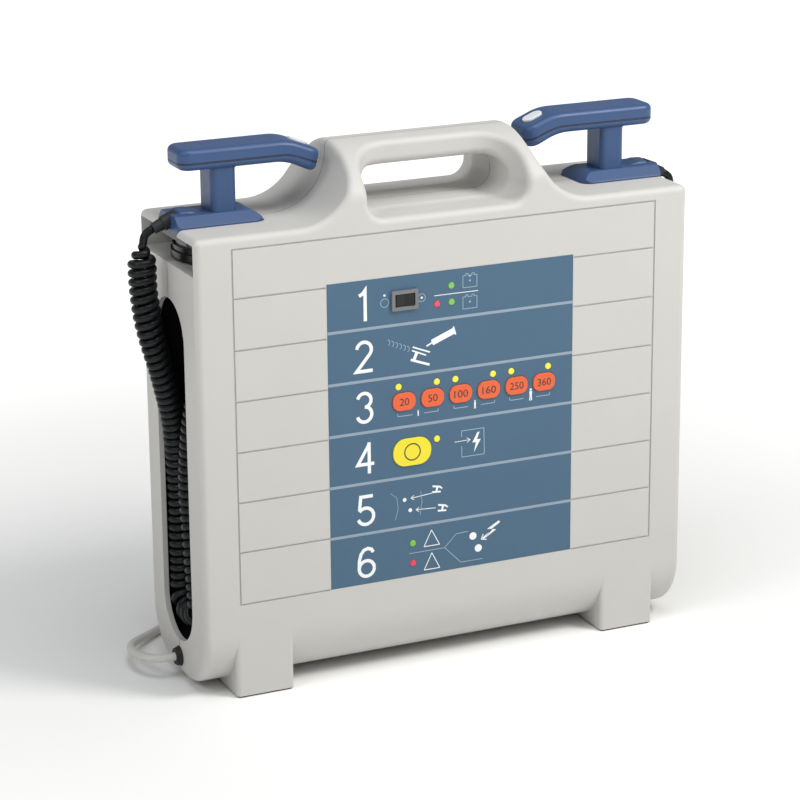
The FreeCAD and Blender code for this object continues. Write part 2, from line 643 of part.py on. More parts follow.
def electronics():
    board = block("main_board_sheet", ("-132", "132"), (INSIDE_FRONT + " + wall * 5 - 1",
                                                       INSIDE_FRONT + " + wall * 5 - 1 + board_thick"),
                                                       ("42", "304"))
    behind = INSIDE_FRONT + " + wall * 5 - 1 + board_thick"
    chips = [block("chip_%d" % place, (x, x + " + 22"), (behind, behind + " + 4"), (z, z + " + 14"))
             for place, (x, z) in enumerate([("-110", "250"), ("-70", "262"), ("-20", "256"), ("30", "262"),
                                             ("80", "250"), ("-60", "40 + 20")], 1)]
    subpart(fuse("main_board", board, *chips))
    chassis_rear = INSIDE_REAR + " - wall - 1"
    chassis_front = chassis_rear + " - 2"
    subpart(block("chassis_plate", ("-134", "134"), (chassis_front, chassis_rear), ("34", "312")))
    capacitor = prism("capacitor_can", "xz", rectangle(("-118", "-14"), ("38", "150")), "seam - 16",
                      chassis_front,
                      [("12", lambda edge: runs_along(edge, "y"))])
    studs = [rod("capacitor_stud_%d" % place, "z", (x, "seam + 14"), "4", "149", "12")
             for place, x in enumerate(("-92", "-40"), 1)]
    subpart(fuse("storage_capacitor", capacitor, *studs))
    strap = block("strap_sheet", ("-126", "-6"), ("seam - 18", chassis_front), ("84", "100"))
    strap_room = block("strap_room", ("-118.02", "-13.98"), ("seam - 16.02", chassis_front + " + 1"),
                       ("80", "104"))
    subpart(cut("capacitor_strap", strap, strap_room))
    coil = rod("inductor_winding", "y", ("42", "88"), "38", "seam - 12", "56")
    core = rod("inductor_bore", "y", ("42", "88"), "13", "seam - 14", "60")
    cheeks = [rod("inductor_cheek_%d" % place, "y", ("42", "88"), "41", start, "3")
              for place, start in enumerate(("seam - 14", chassis_front + " - 3"), 1)]
    subpart(cut("discharge_inductor", fuse("inductor_solid", coil, *cheeks), core))
    core_block = block("transformer_core", ("94", "132"), ("seam - 4", chassis_front), ("44", "92"))
    winding = block("transformer_winding", ("91", "130"), ("seam + 4", chassis_front + " - 8"), ("52", "96"))
    subpart(fuse("charging_transformer", core_block, winding))
    cells = prism("battery_wrap", "xz", rectangle(("-124", "44"), ("166", "236")), "seam - 10", chassis_front,
                  [("15", lambda edge: runs_along(edge, "y"))])
    subpart(rounded("battery_pack", cells, "3", lambda edge: near(middle(edge).y, number("seam - 10"), 0.01)))
    relay = block("relay_case", ("62", "118"), ("seam - 2", chassis_front), ("146", "206"))
    contacts = [rod("relay_contact_%d" % place, "z", (x, "seam + 20"), "2.5", "205", "9")
                for place, x in enumerate(("74", "90", "106"), 1)]
    subpart(fuse("discharge_relay", relay, *contacts))


def case_screws():
    screws = []
    for place, (x, z) in enumerate(SCREW_PLACES, 1):
        shank = rod("screw_shank_%d" % place, "y", (x, z), "screw_radius", "seam - screw_bite",
                    "screw_bite + shoulder_depth")
        head = rod("screw_head_%d" % place, "y", (x, z), "screw_head", "seam + shoulder_depth", "head_thick")
        recess = block("screw_recess_%d" % place, (x + " - 1", x + " + 1"),
                       ("seam + shoulder_depth + head_thick - 1", "seam + shoulder_depth + head_thick + 1"),
                       (z + " - 1", z + " + 1"))
        screws.append(cut("screw_%d" % place, fuse("screw_solid_%d" % place, shank, head), recess))
    subpart(group("case_screws", screws))


def foot_pads():
    pads = []
    for side, low, high in (("left", "-foot_outer", "-foot_inner"), ("right", "foot_inner", "foot_outer")):
        outline = rectangle((low + " + pad_inset / 2", high + " - pad_inset / 2"),
                            (FRONT + " + pad_inset / 2", REAR + " - pad_inset / 2"))
        pads.append(prism("foot_pad_" + side, "xy", outline, "0", "pad_thick", [("foot_round", upright)]))
    subpart(group("foot_pads", pads))


# ---------------------------------------------------------------- cable recesses

def both_sides(name, right):
    """The right-hand piece and its mirror image on the left."""
    right.Label = name + "_right"
    subpart(right)
    subpart(mirrored(name + "_left", right))


def recess_parts():
    def low_edge(edge, height):
        return runs_along(edge, "x") and near(middle(edge).z, height)

    outer_low = number("liner_low")
    inner_low = number("liner_low + liner_wall")
    outer = prism("liner_outer", "yz", rectangle(("seam - liner_half", "seam + liner_half"),
                                                 ("liner_low", "liner_high")),
                  "liner_inner", "case_width / 2 - wall",
                  [("liner_round + liner_wall", lambda edge: low_edge(edge, outer_low))])
    inner = prism("liner_space", "yz",
                  rectangle(("seam - liner_half + liner_wall", "seam + liner_half - liner_wall"),
                            ("liner_low + liner_wall", "liner_high - liner_wall")),
                  "liner_inner + liner_wall", "case_width / 2",
                  [("liner_round", lambda edge: low_edge(edge, inner_low))])
    both_sides("cable_liner", cut("liner_right_solid", outer, inner))
    housing = prism("socket_housing", "xz", rectangle(("liner_inner + liner_wall", "190"), ("262", "288")),
                    "seam - 29", "seam - 5", [("6", lambda edge: runs_along(edge,
                                                                            "y") and middle(edge).x > 180)])
    spigot = rod("socket_spigot", "z", ("180", "seam - 17"), "6", "250", "13")
    both_sides("cord_socket", fuse("socket_right_solid", housing, spigot))


HANGING_ROUTE = [(215.7, 0, 337), (217, 0.3, 318), (216.4, 0, 298), (213.2, 0.8, 277), (208, 3, 256),
                 (201, 8, 236)]
RECESS_ROUTE = [(201, 8, 236), (193.5, 14.5, 214), (187.5, 21, 190), (183.7, 26, 162), (183.4, 27, 132),
                (183.7, 26.2, 102), (183.5, 27, 74), (184, 24, 48), (184, -12, 48), (184, -10, 78),
                (184.3, -3.5, 106), (184, 1, 134), (184.2, -3.5, 178), (182.2, -11, 212), (180, -17, 240)]


def curly_cord(side_sign, side):
    """A coiled cord as one fat tube of the coil's outer size, with a short plain stretch at each end."""
    seam = number("seam")
    coil = number("coil_radius")
    wire = number("wire_radius")

    def placed(point):
        return V(side_sign * point[0], seam + point[1], point[2])

    hanging = [placed(point) for point in HANGING_ROUTE]
    stored = [placed(point) for point in RECESS_ROUTE]
    slope = math.radians(number("boot_slope"))
    outward = V(side_sign * math.cos(slope), 0, -math.sin(slope))
    boot_tip = boot_end(side_sign) + outward * 0.02
    tail_in, _ = tube("curly_cord_%s_start" % side, [boot_tip, boot_tip + outward * wire * 2.2, hanging[0]],
                      wire)
    upper, upper_length = tube("curly_cord_%s_hanging" % side, hanging, coil)
    lower, lower_length = tube("curly_cord_%s_stored" % side, stored, coil)
    socket_end = placed((180, -17, 250))
    tail_out = Part.makeCylinder(wire, socket_end.z - stored[-1].z, stored[-1], V(0, 0, 1))
    subpart(shape_feature("curly_cord_%s_hanging" % side, upper.fuse(tail_in).removeSplitter()))
    subpart(shape_feature("curly_cord_%s_stored" % side, lower.fuse(tail_out).removeSplitter()))
    print("   coil axis %s: %.0f mm" % (side, upper_length + lower_length))


# ---------------------------------------------------------------- mains lead

MAINS_ROUTE = [(-202, 0, 17.5), (-212.5, 0, 17.5), (-221.5, 11, 16), (-224.5, 26, 14), (-222.5, 43, 11.5),
               (-215, 60, 8.5), (-202, 74, 5.5), (-187, 86, 3.9), (-171, 99.5, 3.3), (-155.5, 115, 3.3),
               (-139.9, 133.3, 3.3)]
TAIL_ROUTE = [(-95.5, 143.1, 14.4), (-82, 138.7, 15.6), (-69, 136, 18), (-58, 135, 19.05), (-47, 134.8, 19.05)]


def mains_lead():
    seam = number("seam")
    radius = number("mains_radius")
    flange = doc.addObject("Part::Cone", "gland_flange")
    flange.Placement = FreeCAD.Placement(V(0, 0, 0), FreeCAD.Rotation(V(0, 0, 1), V(-1, 0, 0)))
    bind(flange, "Radius1", "gland_radius")
    bind(flange, "Radius2", "gland_radius - 1.5")
    bind(flange, "Height", "gland_proud")
    bind(flange, "Placement.Base.x", "-case_width / 2")
    bind(flange, "Placement.Base.y", "seam")
    bind(flange, "Placement.Base.z", "gland_height")
    neck = rod("gland_neck", "x", ("seam", "gland_height"), "gland_hole", "-case_width / 2", "wall")
    tail = doc.addObject("Part::Cone", "gland_tail_cone")
    tail.Placement = FreeCAD.Placement(V(0, 0, 0), FreeCAD.Rotation(V(0, 0, 1), V(1, 0, 0)))
    bind(tail, "Radius1", "gland_hole + 1")
    bind(tail, "Radius2", "mains_radius + 1.2")
    bind(tail, "Height", "gland_tail")
    bind(tail, "Placement.Base.x", "-case_width / 2 + wall")
    bind(tail, "Placement.Base.y", "seam")
    bind(tail, "Placement.Base.z", "gland_height")
    doc.recompute()
    subpart(fuse("mains_gland", flange, neck, tail))
    lead, lead_length = tube("mains_lead", [V(x, seam + y, z) for x, y, z in MAINS_ROUTE], radius)
    subpart(shape_feature("mains_lead", lead))
    wound = rod("coil_outside", "z", ("coil_x", "seam + coil_y"), "coil_outer", "0", "coil_tall")
    middle_hole = rod("coil_middle", "z", ("coil_x", "seam + coil_y"), "coil_inner", "-1", "coil_tall + 2")
    subpart(cut("mains_lead_coil", wound, middle_hole))
    end, end_length = tube("mains_lead_end", [V(x, seam + y, z) for x, y, z in TAIL_ROUTE], radius)
    subpart(shape_feature("mains_lead_end", end))
    print("   mains lead %.0f mm, end %.0f mm" % (lead_length, end_length))


def mains_plug():
    """Round two-pin plug lying on its side, with its tapered strain relief towards the lead."""
    before, start = [V(x, number("seam") + y, z) for x, y, z in TAIL_ROUTE[-2:]]
    radius = number("plug_radius")
    length = number("plug_length")
    profile = [(0, 0), (number("mains_radius") + 1, 0), (6.3, 24), (13, 31), (radius, 42), (radius, length),
               (0, length)]
    body = Part.Face(Part.makePolygon([V(across, 0, along) for across, along in profile + profile[:1]]))
    solid = body.revolve(V(0, 0, 0), V(0, 0, 1), 360)
    half_spacing = number("pin_spacing / 2")
    for offset in (-half_spacing, half_spacing):
        pin = Part.makeCylinder(number("pin_radius"), number("pin_reach") + 1, V(offset, 0, length - 1))
        solid = solid.fuse(pin)
    plug = shape_feature("mains_plug", solid)
    plug.Placement = FreeCAD.Placement(start, FreeCAD.Rotation(V(0, 0, 1), start - before))
    subpart(plug)


# ---------------------------------------------------------------- paddles

def boot_end(side_sign):
    slope = math.radians(number("boot_slope"))
    reach = number("boot_length")
    return V(side_sign * (number("boot_x") + reach * math.cos(slope)), number("seam"),
             number("boot_z") - reach * math.sin(slope))


def grip():
    """Two-shell grip, level over the post and drooping towards the middle; the lower shell carries the post."""
    front, rear = "seam - grip_half", "seam + grip_half"
    thick = "(grip_top - grip_under)"
    bend = number("grip_bend")
    droop = number("tan(grip_droop)")
    tip_drop = (bend - number("grip_inner")) * droop
    inner_top = "grip_top - %.2f" % tip_drop
    inner_low = "grip_under - tip_deeper - %.2f" % (tip_drop - 4 * droop)
    outline = [("grip_outer", "grip_under"), ("grip_outer", "grip_top"), ("grip_bend", "grip_top"),
               ("grip_inner", inner_top), ("grip_inner + 4", inner_low), ("grip_bend + 3", "grip_under")]
    outer = number("grip_outer")
    inner = number("grip_inner")
    half = number("grip_half")
    seam = number("seam")

    def bend_edge(edge):
        spot = middle(edge)
        return runs_along(edge, "y") and inner + 10 < spot.x < outer - 5

    def end_corner(edge):
        spot = middle(edge)
        across = near(abs(spot.y - seam), half) and not runs_along(edge, "x")
        return across and (near(spot.x, outer) or inner - 1 < spot.x < inner + 7)

    def rim(edge):
        steep = edge.BoundBox.ZLength > number(thick) * 0.6 and edge.BoundBox.XLength < 10
        return not steep and not bend_edge(edge)

    solid = prism("grip_solid", "xz", outline, front, rear,
                  [("bend_round", bend_edge), ("grip_end_round", end_corner), ("grip_edge", rim)])
    high = "grip_top + wall"
    line = [("grip_outer + wall", "grip_parting"), ("grip_bend", "grip_parting"),
            ("grip_inner - wall", "grip_parting - %.2f" % ((bend - inner + 4) * droop)),
            ("grip_inner - wall", high), ("grip_outer + wall", high)]
    parting = number("grip_parting")
    above = prism("grip_upper_zone", "xz", line, front + " - wall", rear + " + wall",
                  [("bend_round", lambda edge: bend_edge(edge) and near(middle(edge).z, parting, 1))])
    pocket = button_solid("button_pocket", "button_play", "button_deep - button_proud + button_travel + 0.3",
                          "5")
    upper = cut("grip_upper_solid", common("grip_upper_blank", solid, above), pocket)
    both_sides("grip_upper", upper)
    lower = cut("grip_lower_blank", solid, above)
    post = prism("post", "xy", rectangle(("post_x - post_wide / 2", "post_x + post_wide / 2"),
                                         ("seam - post_deep / 2", "seam + post_deep / 2")),
                 "post_low", "grip_under + 1", [("post_round", upright)])
    flare = number("grip_under")
    lower = fuse("grip_lower_joined", lower, post)
    post_x = number("post_x")
    wide_reach = number("post_wide / 2") + 0.5
    deep_reach = number("post_deep / 2") + 0.5
    soft = rounded("grip_lower_solid", lower, "post_flare",
                   lambda edge: near(middle(edge).z, flare, 0.3) and abs(middle(edge).x - post_x) < wide_reach
                   and abs(middle(edge).y - seam) < deep_reach)
    both_sides("grip_lower", soft)


def button_solid(label, play, depth, proud):
    """Oval button on the drooping end, square to that slope, from depth below it to proud above it."""
    body = doc.addObject("PartDesign::Body", label)
    outline = rectangle(("-button_long / 2 - %s" % play, "button_long / 2 + %s" % play),
                        ("-button_wide / 2 - %s" % play, "button_wide / 2 + %s" % play))
    sketch = outline_sketch(body, label + "_outline", "xy", outline, "-(%s)" % depth)
    pad = body.newObject("PartDesign::Pad", label + "_pad")
    pad.Profile = sketch
    bind(pad, "Length", "(%s) + (%s)" % (depth, proud))
    doc.recompute()
    fillet = body.newObject("PartDesign::Fillet", label + "_round")
    fillet.Base = (pad, ["Edge%d" % place for place, edge in enumerate(pad.Shape.Edges, 1) if upright(edge)])
    bind(fillet, "Radius", "button_wide / 2 + %s - 0.1" % play)
    doc.recompute()
    body.Tip = fillet
    droop = number("grip_droop")
    x = number("button_x")
    drop = (number("grip_bend") - x) * math.tan(math.radians(droop))
    body.Placement = FreeCAD.Placement(V(x, number("seam"), number("grip_top") - drop),
                                       FreeCAD.Rotation(V(0, 1, 0), -droop))
    doc.recompute()
    return body


def paddle_button():
    plain = button_solid("button_blank", "0 * button_play", "button_deep - button_proud", "button_proud")
    top = number("button_proud")
    turn = plain.Placement.inverse()
    both_sides("discharge_button", rounded("button_solid", plain, "button_proud / 2",
                                           lambda edge: near(turn.multVec(middle(edge)).z, top, 0.01)))


def paddle_base():
    """Roof-shaped cover with a level ridge for the post, falling away at its inner end, and the plates below it."""
    inner = number("cover_inner")
    side_height = number("cover_side")
    left, right = "seam - cover_half", "seam + cover_half"
    ridge_left, ridge_right = "seam - post_deep / 2 - 0.5", "seam + post_deep / 2 + 0.5"
    roof = prism("cover_roof", "yz",
                 [(left, "carrier_high"), (right, "carrier_high"), (right, "cover_side"),
                  (ridge_right, "post_low"),
                  (ridge_left, "post_low"), (left, "cover_side")], "cover_inner", "cover_outer",
                 [("ridge_round", lambda edge: runs_along(edge, "x") and middle(edge).z > side_height - 0.1)])
    side_view = prism("cover_side_view", "xz",
                      rectangle(("cover_inner", "cover_outer"), ("carrier_high", "post_low")), left, right,
                      [("cover_dome", lambda edge: runs_along(edge, "y") and near(middle(edge).x, inner)
                        and middle(edge).z > side_height)])
    plan = prism("cover_plan", "xy", rectangle(("cover_inner", "cover_outer"), (left, right)),
                 "carrier_high", "post_low + wall",
                 [("cover_corner", lambda edge: upright(edge) and near(middle(edge).x, inner)),
                  ("cover_edge", lambda edge: upright(edge) and middle(edge).x > inner + 40)])
    cover = common("cover_shape", common("cover_sloped", roof, side_view), plan)
    outlet = prism("cable_outlet", "xz",
                   [("post_x + 8", "cover_side - 2"), ("cover_outer - 4", "cover_side - 2"),
                    ("cover_outer - 1", "cover_side + 2"), ("cover_outer - 6", "boot_z + 6.8"),
                    ("cover_outer - 13", "boot_z + 7"), ("post_x + 12", "post_low - 0.5")], "seam - 8.5",
                    "seam + 8.5",
                   [("3", lambda edge: not runs_along(edge, "y") and middle(edge).z > side_height + 1.5)])
    slope = number("boot_slope")
    turn = FreeCAD.Rotation(V(0, 0, 1), V(math.cos(math.radians(slope)), 0, -math.sin(math.radians(slope))))
    root = V(number("boot_x"), number("seam"), number("boot_z"))

    def boot_cone(label, back, radius_back, radius_front, reach):
        shape = doc.addObject("Part::Cone", label)
        bind(shape, "Radius1", radius_back)
        bind(shape, "Radius2", radius_front)
        bind(shape, "Height", reach)
        shape.Placement = FreeCAD.Placement(root - turn.multVec(V(0, 0, back)), turn)
        doc.recompute()
        return shape

    bore = boot_cone("boot_bore", 4, "boot_radius + 0.6", "boot_radius + 0.6", "boot_length")
    both_sides("base_cover", cut("cover_solid", fuse("cover_joined", cover, outlet), bore))
    root_piece = boot_cone("boot_root", 4, "boot_radius + 0.6", "boot_radius + 0.6", "11")
    nose = boot_cone("boot_nose", 0, "boot_radius", "boot_radius - 1", "boot_length")
    both_sides("cable_boot", fuse("boot_solid", root_piece, nose))
    carrier = prism("carrier_solid", "xy",
                    rectangle(("carrier_inner", "carrier_outer"),
                              ("seam - carrier_half", "seam + carrier_half")),
                    "carrier_low", "carrier_high",
                    [("cover_edge * 5", upright),
                     ("cover_edge / 2", lambda edge: near(middle(edge).z, number("carrier_high"), 0.01))])
    both_sides("electrode_carrier", carrier)
    centre = ("electrode_x", "seam")
    both_sides("electrode_neck", rod("neck_solid", "z", centre, "neck_radius", "neck_low",
                                     "carrier_low - neck_low"))
    lower_rim = rod("rim_lower", "z", centre, "rim_radius", "rim_low", "rim_step - rim_low")
    upper_rim = rod("rim_upper", "z", centre, "rim_upper_radius", "rim_step - 0.5",
                    "neck_low - rim_step + 0.5")
    both_sides("electrode_rim", fuse("rim_solid", lower_rim, upper_rim))
    both_sides("electrode_plate", rod("plate_solid", "z", centre, "plate_radius", "plate_low",
                                      "rim_low - plate_low"))


def bay_contacts():
    contact = block("contact_sheet", ("electrode_x - contact_half", "electrode_x + contact_half"),
                    ("seam - contact_half / 2", "seam + contact_half / 2"),
                    ("bay_floor", "bay_floor + contact_thick"))
    both_sides("test_contact", contact)


# ---------------------------------------------------------------- build, check and write

case_shells()
control_overlay()
keys()
keypad_board()
lamps()
power_switch()
electronics()
case_screws()
foot_pads()
recess_parts()
grip()
paddle_button()
paddle_base()
bay_contacts()
for sign, side_name in ((-1, "left"), (1, "right")):
    curly_cord(sign, side_name)
mains_lead()
mains_plug()
doc.recompute()

failed = [thing.Label for thing in doc.Objects if "Invalid" in thing.State or "Error" in thing.State]
if failed:
    raise RuntimeError("these objects did not compute: " + ", ".join(failed))
for piece in subparts:
    if piece.Shape.isNull() or not piece.Shape.isValid() or not piece.Shape.Solids:
        raise RuntimeError("%s has no valid solid" % piece.Label)
os.makedirs("parts", exist_ok=True)
for old in os.listdir("parts"):
    os.remove(os.path.join("parts", old))
for piece in subparts:
    piece.Shape.exportStep("parts/%s.step" % piece.Label)
print("%d pieces written" % len(subparts))
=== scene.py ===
"""Looks of the defibrillator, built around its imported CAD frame.

Lengths are in metres in the CAD's frame, except where a comment or a factor MM says millimetres.
"""

import math

import bmesh
import bpy
from mathutils import Matrix, Vector


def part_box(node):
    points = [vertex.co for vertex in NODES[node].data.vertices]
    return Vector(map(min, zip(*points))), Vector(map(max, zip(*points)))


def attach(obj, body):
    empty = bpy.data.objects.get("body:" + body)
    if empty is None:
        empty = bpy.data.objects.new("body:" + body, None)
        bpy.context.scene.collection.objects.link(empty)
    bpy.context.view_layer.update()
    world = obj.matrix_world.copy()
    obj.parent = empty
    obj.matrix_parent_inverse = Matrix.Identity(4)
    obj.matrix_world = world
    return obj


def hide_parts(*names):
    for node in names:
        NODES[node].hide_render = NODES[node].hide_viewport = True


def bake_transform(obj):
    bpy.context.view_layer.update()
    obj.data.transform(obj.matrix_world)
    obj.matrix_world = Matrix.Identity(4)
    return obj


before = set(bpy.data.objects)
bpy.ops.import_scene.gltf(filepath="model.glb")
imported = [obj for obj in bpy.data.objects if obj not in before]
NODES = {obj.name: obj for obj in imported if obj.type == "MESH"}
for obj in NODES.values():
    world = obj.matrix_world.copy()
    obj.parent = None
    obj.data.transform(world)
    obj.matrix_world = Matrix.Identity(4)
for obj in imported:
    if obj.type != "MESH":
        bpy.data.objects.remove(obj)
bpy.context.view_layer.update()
MM = 0.001
SEAM = (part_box("front_shell")[1].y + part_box("rear_shell")[0].y) / 2
SHEET_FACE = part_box("control_overlay")[0].y
SIDES = (("left", -1), ("right", 1))


def link(name, data):
    thing = bpy.data.objects.new(name, data)
    bpy.context.scene.collection.objects.link(thing)
    return thing


# ---------------------------------------------------------------- camera

CAMERA_PLACE = (-0.8529, SEAM - 1.8403, 0.8195)
TOWARDS_CAMERA = (-0.3957, -0.8694, 0.2960)
CAMERA_ROLL = math.radians(-0.47)
LENS_MM = 126


def make_camera():
    """Camera at the photograph's angle: to the object's left, a little above, with a slight roll."""
    towards_camera = Vector(TOWARDS_CAMERA).normalized()
    right = Vector((0, 0, 1)).cross(towards_camera).normalized()
    up = towards_camera.cross(right)
    image_right = math.cos(CAMERA_ROLL) * right + math.sin(CAMERA_ROLL) * up
    image_up = towards_camera.cross(image_right)
    data = bpy.data.cameras.new("camera")
    data.lens = LENS_MM
    data.sensor_width = 36
    data.clip_end = 50
    camera = link("camera", data)
    turn = Matrix((image_right, image_up, towards_camera)).transposed()
    camera.matrix_world = Matrix.Translation(CAMERA_PLACE) @ turn.to_4x4()
    bpy.context.scene.camera = camera


make_camera()


# ---------------------------------------------------------------- materials

PATCH_MM = 55             # size of the patches of uneven colour
GLOSS_PATCH_MM = 9        # size of the patches of uneven gloss
GLOSS_SPREAD = 0.07
GRAIN_SHADE = 0.86        # colour factors: in the grain, in a joint line and on an edge, where the lighter colour is a painted highlight
LINE_SHADE = 0.06
# painted highlight on every edge: how much lighter the colour gets there, and how much of it is mixed in
EDGE_HIGHLIGHT_SHADE = 1.22
EDGE_HIGHLIGHT_SHARE = 0.5
EDGE_GAIN = 4.0           # how soon a turned face counts as an edge
LINE_DEPTH = 6.0          # depth of a joint line as a multiple of the grain's height
COAT_ROUGHNESS = 0.12


class Nodes:
    """Short names for the node calls that every material uses."""

    def __init__(self, name):
        self.material = bpy.data.materials.new(name)
        self.material.use_nodes = True
        self.tree = self.material.node_tree
        self.shader = self.tree.nodes["Principled BSDF"]
        place = self.tree.nodes.new("ShaderNodeTexCoord")
        self.place = place.outputs["Object"]

    def new(self, kind, **inputs):
        node = self.tree.nodes.new(kind)
        for name, value in inputs.items():
            self.feed(node.inputs[name], value)
        return node

    def feed(self, socket, value):
        if isinstance(value, bpy.types.NodeSocket):
            self.tree.links.new(value, socket)
        else:
            socket.default_value = value

    def noise(self, size_mm, detail=2.0, stretch=None):
        where = self.place
        if stretch:
            where = self.vector("MULTIPLY", where, stretch)
        node = self.new("ShaderNodeTexNoise", Vector=where, Scale=1000.0 / size_mm, Detail=detail)
        return node.outputs["Fac"]

    def vector(self, operation, first, second):
        node = self.tree.nodes.new("ShaderNodeVectorMath")
        node.operation = operation
        self.feed(node.inputs[0], first)
        self.feed(node.inputs[1], second)
        return node.outputs[0]

    def math(self, operation, first, second=0.0, clamp=False):
        node = self.tree.nodes.new("ShaderNodeMath")
        node.operation = operation
        node.use_clamp = clamp
        self.feed(node.inputs[0], first)
        self.feed(node.inputs[1], second)
        return node.outputs[0]

    def axes(self):
        node = self.new("ShaderNodeSeparateXYZ", Vector=self.place)
        return [node.outputs[name] for name in "XYZ"]

    def between(self, low, high, amount):
        """amount turned into low to high."""
        node = self.tree.nodes.new("ShaderNodeMapRange")
        for name, value in (("Value", amount), ("To Min", low), ("To Max", high)):
            self.feed(node.inputs[name], value)
        return node.outputs["Result"]

    def mix(self, first, second, amount):
        node = self.tree.nodes.new("ShaderNodeMix")
        node.data_type = "RGBA"
        self.feed(node.inputs["Factor"], amount)
        self.feed(node.inputs[6], first)
        self.feed(node.inputs[7], second)
        return node.outputs[2]

    def line_at(self, distance, half_width):
        """1 within half_width of where distance is nought, and 0 beyond it."""
        share = self.math("DIVIDE", self.math("ABSOLUTE", distance), half_width)
        return self.math("SUBTRACT", 1.0, self.math("MULTIPLY", share, share), clamp=True)


def rgba(colour, factor=1.0):
    return tuple(min(1.0, channel * factor) for channel in colour) + (1.0,)


def material(name, colour, rough, grain=0.8, bump=0.02, blotch=0.06, metal=0.0, coat=0.0, edge=0.35,
             stretch=None, line=None, shine=0.5):
    """Procedural finish: uneven colour and gloss, a fine surface grain, a painted highlight that lightens the
    edges, and soft corners.

    grain is the grain's size in mm and bump its height in mm; edge is the radius in mm that corners are
    softened to. line is a function that gives a dark joint line's mask from the nodes.
    """
    n = Nodes(name)
    patches = n.noise(PATCH_MM, 3)
    fine = n.noise(grain, 3, stretch)
    shade = n.mix(rgba(colour, 1 - blotch), rgba(colour, 1 + blotch), patches)
    shade = n.mix(shade, rgba(colour, GRAIN_SHADE), n.between(0, 0.35, fine))
    soften = n.tree.nodes.new("ShaderNodeBevel")
    soften.samples = 4
    soften.inputs["Radius"].default_value = edge * MM
    height = fine
    if line:
        mask = line(n)
        shade = n.mix(shade, rgba(colour, LINE_SHADE), mask)
        height = n.math("SUBTRACT", fine, n.math("MULTIPLY", mask, LINE_DEPTH))
    relief = n.new("ShaderNodeBump", Strength=0.6, Distance=bump * MM, Height=height,
                   Normal=soften.outputs["Normal"])
    # painted highlight: the colour is lightened at the edges, where the softened normal turns away from the
    # true one
    facing = n.new("ShaderNodeVectorMath")
    facing.operation = "DOT_PRODUCT"
    n.feed(facing.inputs[0], soften.outputs["Normal"])
    n.feed(facing.inputs[1], n.tree.nodes.new("ShaderNodeNewGeometry").outputs["True Normal"])
    turned = n.math("SUBTRACT", 1.0, facing.outputs["Value"])
    edge_highlight = n.between(0.0, 1.0, n.math("MULTIPLY", turned, EDGE_GAIN, clamp=True))
    shade = n.mix(shade, rgba(colour, EDGE_HIGHLIGHT_SHADE), n.math("MULTIPLY", edge_highlight, EDGE_HIGHLIGHT_SHARE))
    s = n.shader.inputs
    n.feed(s["Base Color"], shade)
    smoothest, roughest = max(0.02, rough - GLOSS_SPREAD), min(1.0, rough + GLOSS_SPREAD)
    n.feed(s["Roughness"], n.between(smoothest, roughest, n.noise(GLOSS_PATCH_MM, 2)))
    n.feed(s["Normal"], relief.outputs["Normal"])
    s["Metallic"].default_value = metal
    s["Coat Weight"].default_value = coat
    s["Coat Roughness"].default_value = COAT_ROUGHNESS
    s["Specular IOR Level"].default_value = shine
    return n.material


DROOP = math.radians(22)          # slope of a grip's inner end, and of a cable boot
GRIP_BEND_X = 0.107
GRIP_JOINT_Z = 0.3944
GRIP_BEND_SOFT = 0.0078
CASE_JOINT_HALF_WIDTH = 0.45 * MM
GRIP_JOINT_HALF_WIDTH = 1.0 * MM


def seam_line(n):
    """The joint between the two shells of the case."""
    depth = n.axes()[1]
    return n.line_at(n.math("SUBTRACT", depth, SEAM), CASE_JOINT_HALF_WIDTH)


def grip_line(n):
    """The joint between the two shells of a grip: level, then sloping down past a soft bend."""
    across, _, height = n.axes()
    soft = GRIP_BEND_SOFT
    past_bend = n.math("SUBTRACT", GRIP_BEND_X, n.math("ABSOLUTE", across))
    turned = n.math("MINIMUM", n.math("MAXIMUM", n.math("ADD", past_bend, soft), 0.0), 2 * soft)
    curved = n.math("DIVIDE", n.math("MULTIPLY", turned, turned), 4 * soft)
    beyond = n.math("MAXIMUM", n.math("SUBTRACT", past_bend, soft), 0.0)
    drop = n.math("MULTIPLY", n.math("ADD", curved, beyond), math.tan(DROOP))
    joint = n.math("SUBTRACT", GRIP_JOINT_Z, drop)
    return n.line_at(n.math("SUBTRACT", height, joint), GRIP_JOINT_HALF_WIDTH)


